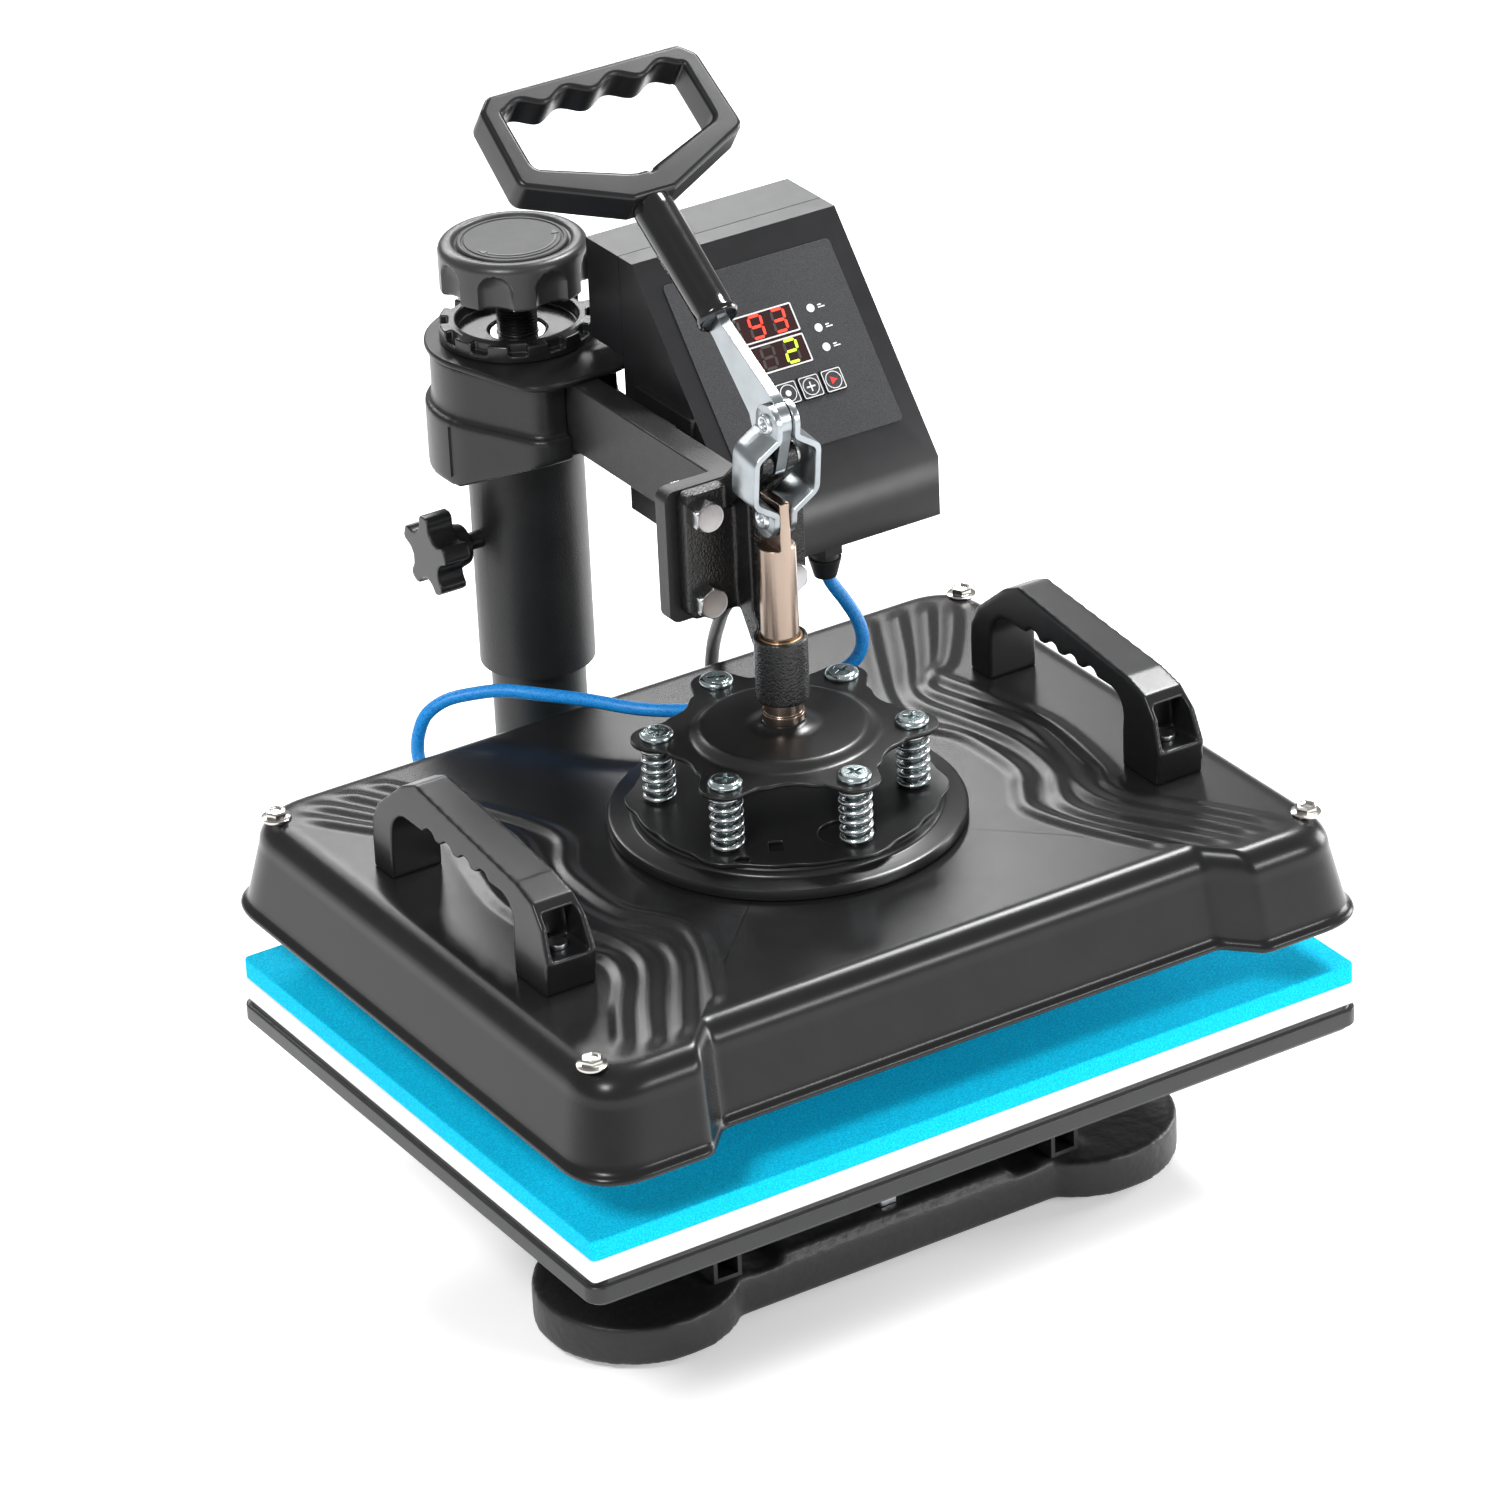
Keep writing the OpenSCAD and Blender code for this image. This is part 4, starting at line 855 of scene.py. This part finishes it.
def make_links():
    """Two bowed strips from the crank pin to the shaft pin, and their hollow rivets."""
    inner, thick, half, end, bowed = 2.8, 3.0, 8.5, 8.5, 13.6
    bends = rounded(
        [(inner, end), (inner, -5.5), (bowed, -13), (bowed, 13 - LINK_LENGTH),
         (inner, 5.5 - LINK_LENGTH), (inner, -end - LINK_LENGTH)],
        [0, 4, 4, 4, 4, 0],
    )
    path = []
    for a, b in zip(bends, bends[1:]):
        steps = max(1, int((b - a).length))
        path += [Vector((*(a + (b - a) * k / steps), 0)).xzy * MM for k in range(steps)]
    path.append(Vector((*bends[-1], 0)).xzy * MM)
    cross_section = [(-1, 0.35), (-0.94, 0.0), (0.94, 0.0), (1, 0.35), (1, 2.65), (0.94, thick),
                     (-0.94, thick), (-1, 2.65)]
    verts = []
    for i, point in enumerate(path):
        z = point.z / MM
        beyond = max(0.0, z, -LINK_LENGTH - z)
        width = half * math.sqrt(max(0.002, 1 - (beyond / (end + 0.02)) ** 2))
        ahead = (path[min(i + 1, len(path) - 1)] - path[max(i - 1, 0)]).normalized()
        outward = Vector((-ahead.z, 0, ahead.x))
        for across, deep in cross_section:
            verts.append(point + Vector((0, across * width, 0)) * MM + outward * deep * MM)
    count = len(cross_section)
    faces = band_faces(len(path), count)
    faces.append(tuple(range(count)))
    faces.append(tuple(range(len(verts) - count, len(verts))))
    both = verts + [Vector((-v.x, v.y, v.z)) for v in verts]
    doubled = faces + [tuple(k + len(verts) for k in reversed(f)) for f in faces]
    links = from_faces("v_link_plates", both, doubled, 40)
    links.data.transform(link_matrix())
    settle(links, "link_plates")
    rivet = [(2.2, -0.4), (4.6, -0.4), (4.7, 0.3), (4.3, 1.2), (3.6, 1.7), (2.9, 1.6), (2.5, 1.1),
             (2.3, 0.2), (2.3, -0.2), (0, -0.2)]
    rivets = []
    for side in (1, -1):
        for along in (0, LINK_LENGTH):
            piece = lathe("v_link_rivet_%d" % len(rivets), rivet, sides=40, angle=50)
            piece.data.transform(
                link_matrix() @ moved(side * (inner + thick), 0, -along) @ rotated(90 * side, "Y")
            )
            rivets.append(piece)
    placed(rivets, "link_rivets")


# ---- plunger and springs


def lobed_radii(rim, lobe, scoop_ring, scoop, count=360):
    """Radii of a plate with six round lobes on the spring bolts, scooped in between."""
    radii, sixth = [], math.pi / 3
    for k in range(count):
        folded = abs((2 * math.pi * k / count + sixth / 2) % sixth - sixth / 2)
        near = sixth / 2 - folded
        inside = lobe ** 2 - (SPRING_RING * math.sin(near)) ** 2
        outside = scoop ** 2 - (scoop_ring * math.sin(folded)) ** 2
        out = SPRING_RING * math.cos(near) + math.sqrt(inside) if inside > 0 else rim
        cut = scoop_ring * math.cos(folded) - math.sqrt(outside) if outside > 0 else 99
        radii.append(min(max(rim, out), cut))
    return [sum(radii[(k + j) % count] for j in range(-3, 4)) / 7 for k in range(count)]


def make_star_plate():
    """Pressed plate: six flat lobes round a raised disc, with a collar at its centre."""
    inner, thick, edge_round = 9.4, 2.1, 0.35
    disc, disc_rise = 41.5, 3.6
    collar, collar_rise = 17, 2.3
    edges = lobed_radii(52.0, 11.5, 66, 18)
    turns = len(edges)
    shares = [k / 60 for k in range(61)]
    rows = [(share, thick) for share in shares]
    rows += [(1.0, 1.8), (1.0, 0.3)]
    rows += [(share, 0.0) for share in reversed(shares)]
    points = []
    for share, height in rows:
        for k, edge in enumerate(edges):
            turn = 2 * math.pi * k / turns
            reach = edge - edge_round if height in (0.0, thick) and share == 1.0 else edge
            radius = inner + (reach - inner) * share
            step = min(1.0, max(0.0, (disc - radius) / 7))
            rise = disc_rise * step * step * (3 - 2 * step)
            rise += collar_rise * min(1.0, max(0.0, (collar - radius) / 7)) ** 2
            points.append(Vector((radius * math.cos(turn), radius * math.sin(turn),
                                  STAR_LOW + height + rise)) * MM)
    faces = band_faces(len(rows), turns, closed=True)
    settle(from_faces("v_star_plate", points, faces, 50), "star_plate")
    refined("press_shaft", 0.5, 2)


def spring_places():
    """The spring bolts' places, in mm from the shaft."""
    angles = [math.radians(30 + 60 * i) for i in range(6)]
    return [(SPRING_RING * math.cos(a), SPRING_RING * math.sin(a)) for a in angles]


def make_springs():
    """Six compression springs with closed ends."""
    wire, radius, coils, steps = 1.25, 6.2, 6.5, 22
    low, high = SPRING_FLOOR + 1.3, STAR_LOW - wire
    verts, faces = [], []
    for x, y in spring_places():
        path = []
        for k in range(int(coils * steps) + 1):
            share = k / (coils * steps)
            eased = min(1.0, max(0.0, (share - 0.1) / 0.8))
            blend = share * 0.25 + eased * 0.75
            turn = 2 * math.pi * k / steps
            path.append(Vector((x + radius * math.cos(turn), y + radius * math.sin(turn),
                                low + (high - low) * blend)) * MM)
        tube_verts, tube_faces = swept(path, wire * MM, 10)
        faces += [tuple(i + len(verts) for i in face) for face in tube_faces]
        verts += tube_verts
    springs = from_faces("v_press_springs", verts, faces, 60)
    settle(springs, "press_springs")
    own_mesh(springs)


# ---- head

# Crest lines of the right side's waves in mm, towards the front edge and the rear edge.
WAVES = [
    [(88, 40), (99, 19), (102, 1), (101, -26), (92, -42), (86, -55), (89, -71), (97, -90),
     (113, -121), (132, -154)],
    [(103, 50), (109, 27), (116, -4), (113, -35), (102, -57), (101, -70), (107, -86),
     (125, -115), (146, -150)],
    [(113, 60), (118, 40), (127, 6), (121, -31), (115, -49), (114, -65), (119, -80),
     (136, -107), (158, -148)],
    [(124, 68), (131, 40), (138, 2), (132, -45), (126, -60), (130, -78), (146, -102),
     (170, -142)],
]
REAR_WAVES = [[(88, 40), (92, 62), (107, 94), (130, 138)],
              [(103, 50), (106, 66), (121, 92), (146, 138)],
              [(113, 60), (120, 72), (135, 94), (160, 134)],
              [(124, 68), (134, 78), (150, 98), (174, 132)]]


def wave_rise(places, paths):
    """Height in mm that the waves add at each place, an array of x and y in mm."""
    half_width, half_height = 6.5, 0.58
    side = np.abs(places[:, 0]), places[:, 1]
    rise = np.zeros(len(places))
    for path in paths:
        nearest = np.full(len(places), 1e9)
        for a, b in zip(path, path[1:]):
            span = b - a
            share = ((side[0] - a.x) * span.x + (side[1] - a.y) * span.y) / span.length_squared
            share = np.clip(share, 0, 1)
            away = np.hypot(side[0] - a.x - share * span.x, side[1] - a.y - share * span.y)
            nearest = np.minimum(nearest, away)
        bump = half_height * (1 + np.cos(math.pi * nearest / half_width))
        rise += np.where(nearest < half_width, bump, 0)
    return rise


def wave_paths():
    paths = []
    for front, rear in zip(WAVES, REAR_WAVES):
        whole = list(reversed(front)) + rear[1:]
        smooth = smooth_route([(x, y, 0) for x, y in whole], 5)
        paths.append([Vector((p.x, p.y)) / MM for p in smooth])
    return paths


def cover_outline(inset, count):
    """The cover's plan at an inset: a rounded rectangle with its front edge stepped back."""
    w, d, r = 194 - inset, 156 - inset, 30 - inset * 0.45
    step_x, step_y = 131 - inset * 0.2, -139 + inset
    lobe = 9 - min(5, inset * 0.2)
    corners = [
        ((w, -d), r), ((w, d), r), ((-w, d), r), ((-w, -d), r),
        ((-step_x - 7, -d), lobe), ((-step_x + 7, step_y - 2), lobe),
        ((step_x - 7, step_y - 2), lobe), ((step_x + 7, -d), lobe),
    ]
    loop = rounded([Vector(c) for c, _ in corners], [q for _, q in corners], 14)
    lengths = [0.0]
    for a, b in zip(loop, loop[1:] + loop[:1]):
        lengths.append(lengths[-1] + (b - a).length)
    total = lengths[-1]
    out, i = [], 0
    for k in range(count):
        at = total * k / count
        while lengths[i + 1] < at:
            i += 1
        share = (at - lengths[i]) / max(1e-9, lengths[i + 1] - lengths[i])
        a, b = loop[i], loop[(i + 1) % len(loop)]
        out.append(a + (b - a) * share)
    return out


def make_cover():
    """Pressed cover: curled lip, sloping skirt, rounded shoulder and four rounded waves."""
    count, rows, hole, top = 900, 74, 70, COVER_TOP
    slope, shoulder, rim = 12, 12.5, 19.5
    skirt = [(2.2, 142.3), (1.0, 142.0), (0.0, 142.6), (-0.3, 143.6), (0.0, 144.8), (0.9, 145.6),
             (2.0, 146.4), (2.6, 148)]
    skirt += [(2.6 + 5.4 * k / slope, 148 + 25.5 * k / slope) for k in range(1, slope + 1)]
    skirt += [(rim - 11.5 * math.cos(math.radians(a)),
               top - shoulder + shoulder * math.sin(math.radians(a))) for a in range(8, 91, 7)]

    def ring(inset, z):
        return [Vector((p.x, p.y, z)) * MM for p in cover_outline(inset, count)]

    points = [point for inset, z in skirt for point in ring(inset, z)]
    outer = np.array([(p.x, p.y) for p in cover_outline(rim, count)])
    angles = [math.atan2(y, x) for x, y in outer]
    inner = hole * np.array([(math.cos(a), math.sin(a)) for a in angles])
    shares = [row / rows for row in range(1, rows + 1)]
    places = np.concatenate([outer + (inner - outer) * share for share in shares])
    fade = np.clip(np.repeat(shares, count) * rows / 9, 0, 1)
    heights = top + wave_rise(places, wave_paths()) * fade * fade * (3 - 2 * fade)
    points += [Vector((x, y, z)) * MM for (x, y), z in zip(places, heights)]
    points += [Vector((hole * math.cos(a), hole * math.sin(a), top - 2)) * MM for a in angles]
    for inset, z in ((14, 182), (10, 172), (4.6, 146)):
        points += ring(inset, z)
    faces = band_faces(len(points) // count, count, closed=True)
    settle(from_faces("v_head_cover", points, faces, 60), "head_cover")


def lift_carry(co):
    """Narrows a carry handle towards its top."""
    handle_x, handle_high, straight = 152, 51, 0.25
    height = (co.z / MM - COVER_TOP) / handle_high
    narrow = 1.0 - 0.34 * max(0.0, min(1.0, (height - straight) / (1 - straight))) ** 1.5
    middle = math.copysign(handle_x * MM, co.x)
    return Vector((middle + (co.x - middle) * narrow, co.y, co.z))


def make_carry_handles():
    moulded("carry_handles", 0.9, 4, lift_carry)
    refined("handle_screws", 0.4)


def make_spring_plate():
    radii = lobed_radii(66.0, 15.5, 74, 9.5)
    step = 2 * math.pi / len(radii)
    outline = [Vector((r * math.cos(k * step), r * math.sin(k * step)))
               for k, r in enumerate(radii)]
    slot_hole = [Matrix.Rotation(math.radians(60), 2) @ Vector(p) + Vector((-30, -44))
                 for p in rectangle(0, 0, 9, 6, 0.8)]
    holes = [circle(0, -46, 12), circle(-48, -40, 3.2, 24), slot_hole]
    settle(plate("v_spring_plate", [outline] + holes, SPRING_FLOOR - 2, SPRING_FLOOR, 0.7),
           "spring_plate")
    make_spring_screws()
    disc = [(0, 0), (74, 0), (76, 0.2), (77, 1.2), (77, 4.4), (76.4, 5.5), (75.2, 6), (67.4, 6),
            (66.5, 6.5), (66, 7.5), (66, 9.2), (65.2, 10), (0, 10)]
    settle(lathe("v_cover_disc", disc, (0, 0, COVER_TOP), 144), "cover_disc")


def make_spring_screws():
    """Pan-head screws with a cross recess, one through each spring."""
    low, high = (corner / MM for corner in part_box("spring_screws"))
    top = high.z
    rim = [(5.4, top - 1.9), (5.4, top - 0.15), (6.2, top - 0.35), (6.9, top - 0.8),
           (7.3, top - 1.5), (7.4, top - 2.4), (7.2, top - 3.1), (0, top - 3.2)]
    shank = [(0, low.z), (2.6, low.z), (3, low.z + 0.5), (3, SPRING_FLOOR),
             (4.2, SPRING_FLOOR + 1), (4.2, top - 3), (0, top - 3)]
    face = [circle(0, 0, 5.6), rounded(cross(3.9, 0.85), 0.25)]
    pieces = []
    for index, (x, y) in enumerate(spring_places()):
        screw = [lathe("v_screw_head_%d" % index, rim, sides=64, angle=50),
                 plate("v_screw_face_%d" % index, face, top - 1.7, top - 0.02, 0.15),
                 lathe("v_screw_shank_%d" % index, shank, sides=32)]
        for piece in screw:
            piece.data.transform(moved(x, y, 0) @ rotated(25 + 40 * index, "Z"))
        pieces += screw
    placed(pieces, "spring_screws")


def make_corner_screws():
    """Nickel screws with a washer and a domed hexagon head."""
    x, y = 177, 130
    washer = [(0, -0.2), (6.4, -0.2), (6.6, 0.2), (6.5, 0.9), (6.2, 1.1), (0, 1.1)]
    head = [(0, 1), (4.8, 1), (4.9, 1.6), (4.8, 3.2), (4.2, 3.9), (3.0, 4.0), (2.6, 3.3), (0, 3.2)]
    pieces = []
    for index, corner in enumerate(((-x, -y), (x, -y), (x, y), (-x, y))):
        place = (*corner, COVER_TOP)
        pieces += [lathe("v_corner_washer_%d" % index, washer, place, 40),
                   lathe("v_corner_head_%d" % index, head, place, 6, 20)]
    placed(pieces, "cover_screws")


# ---- control box

PANEL_LOW_Y, PANEL_LOW_Z = 62.6, 296
PANEL_HIGH_Y, PANEL_HIGH_Z = 139, 388
PANEL_ANGLE = math.atan2(PANEL_HIGH_Z - PANEL_LOW_Z, PANEL_HIGH_Y - PANEL_LOW_Y)


def panel_matrix():
    """x across the panel, y up its slope, z out of its face."""
    return moved(71, PANEL_LOW_Y, PANEL_LOW_Z) @ Matrix.Rotation(PANEL_ANGLE, 4, "X")


def frame_loops(x0, y0, x1, y1, radius, line):
    inner = rectangle(x0 + line, y0 + line, x1 - line, y1 - line, max(0.2, radius - line))
    return [rectangle(x0, y0, x1, y1, radius), inner]


def printed(name, loops, node, material, low=0.72, high=0.86):
    extra(plate(name, loops, low, high, 0.03, panel_matrix()), node, material)


SEGMENTS = {
    "a": ((1, 10), (6, 10)), "b": ((6.6, 9.4), (6.2, 5.6)), "c": ((6.1, 4.6), (5.7, 0.8)),
    "d": ((5, 0.2), (0.2, 0.2)), "e": ((-0.3, 0.8), (0.1, 4.6)), "f": ((0.2, 5.6), (0.6, 9.4)),
    "g": ((0.7, 5.1), (5.5, 5.1)),
}
DIGITS = {"9": "abcdfg", "3": "abcdg", "2": "abged"}
KEY_PITCH = 11.6


def digit_loops(x, y, segments):
    loops = []
    for key in segments:
        a, b = (Vector(p) for p in SEGMENTS[key])
        along = (b - a).normalized()
        side = Vector((-along.y, along.x)) * 0.62
        a, b = a + along * 0.3, b - along * 0.3
        points = [a - along * 0.5, a - side, b - side, b + along * 0.5, b + side, a + side]
        loops.append([p + Vector((x, y)) for p in points])
    return loops


def make_box():
    refined("box_front", 1.6, 3, 40)
    refined("box_rear", 1.4, 3, 40)
    refined("membrane_panel", 0.25)
    refined("display_window", 0.3)
    for i in range(4):
        refined("key_%d" % (i + 1), 0.35)
    refined("cable_glands", 0.6)
    for node in ("box_bracket", "circuit_board", "heat_plate"):
        refined(node, 0.3, 1)
    white = PRINT_WHITE
    for name, y in (("upper", 70.9), ("lower", 56.4)):
        printed("v_window_frame_" + name, frame_loops(-25.4, y, 12.4, y + 13.2, 0.9, 0.7),
                "display_window", white, 0.62, 0.8)
    rows = (("red", 72.6, " 93", DIGIT_RED), ("green", 58.1, "  2", DIGIT_GREEN))
    for name, y, text, lit in rows:
        for index, letter in enumerate(text):
            x = -22 + KEY_PITCH * index
            on = DIGITS.get(letter, "")
            off = [s for s in SEGMENTS if s not in on]
            if on:
                printed("v_digit_%s_%d" % (name, index), digit_loops(x, y, on),
                        "display_window", lit, 0.6, 0.7)
            if off:
                printed("v_digit_off_%s_%d" % (name, index), digit_loops(x, y, off),
                        "display_window", DIGIT_OFF, 0.58, 0.66)
    lamp_x, mark_x = 20.8, 24.4
    for index, y in enumerate((78.8, 69.5, 60.4)):
        printed("v_lamp_ring_%d" % index, [circle(lamp_x, y, 1.9), circle(lamp_x, y, 1.2)],
                "membrane_panel", white)
        printed("v_lamp_%d" % index, [circle(lamp_x, y, 1.15)], "membrane_panel", LAMP_LENS)
        for k, width in enumerate((3.4, 1.9)):
            low = y - 0.9 + 1.1 * k
            printed("v_lamp_mark_%d_%d" % (index, k),
                    [rectangle(mark_x, low, mark_x + width, low + 0.6, 0.2)],
                    "membrane_panel", white)
    half = 4.9
    for i in range(4):
        x, y, node = KEY_PITCH * (i - 1.5), 45.5, "key_%d" % (i + 1)
        printed("v_key_frame_%d" % i,
                frame_loops(x - half, y - half, x + half, y + half, 1.2, 0.45),
                node, white, 1.66, 1.8)
        printed("v_key_ring_%d" % i, [circle(x, y, 4.0), circle(x, y, 3.6)], node, white,
                1.66, 1.8)
        # the start key's red icon carries a faint painted glow over its printed ink
        printed("v_key_icon_%d_0" % i, [key_icon(i, x, y)], node,
                ICON_RED_PAINTED_GLOW if i == 3 else white, 1.66, 1.8)


def key_icon(i, x, y):
    """Minus, a dot, plus, and a start triangle."""
    arm, half = 2.2, 0.35
    minus = [(-arm, -half), (arm, -half), (arm, half), (-arm, half)]
    icons = [minus, circle(0, 0, 1.4, 32), cross(arm, half), [(-1.4, -1.8), (2.0, 0), (-1.4, 1.8)]]
    return [Vector((x, y)) + Vector(p) for p in icons[i]]


# ---- assembly

make_camera()
make_studio()
make_mains_lead()
make_heater_cable()
make_base()
make_column()
make_arm()
make_lever()
make_links()
make_star_plate()
make_springs()
make_cover()
make_carry_handles()
make_spring_plate()
make_corner_screws()
make_box()
for node_name, node in frame["nodes"].items():
    if not node.hide_render:
        node.data.materials.clear()
        node.data.materials.append(MATERIALS[SLOT_OF[node_name]])
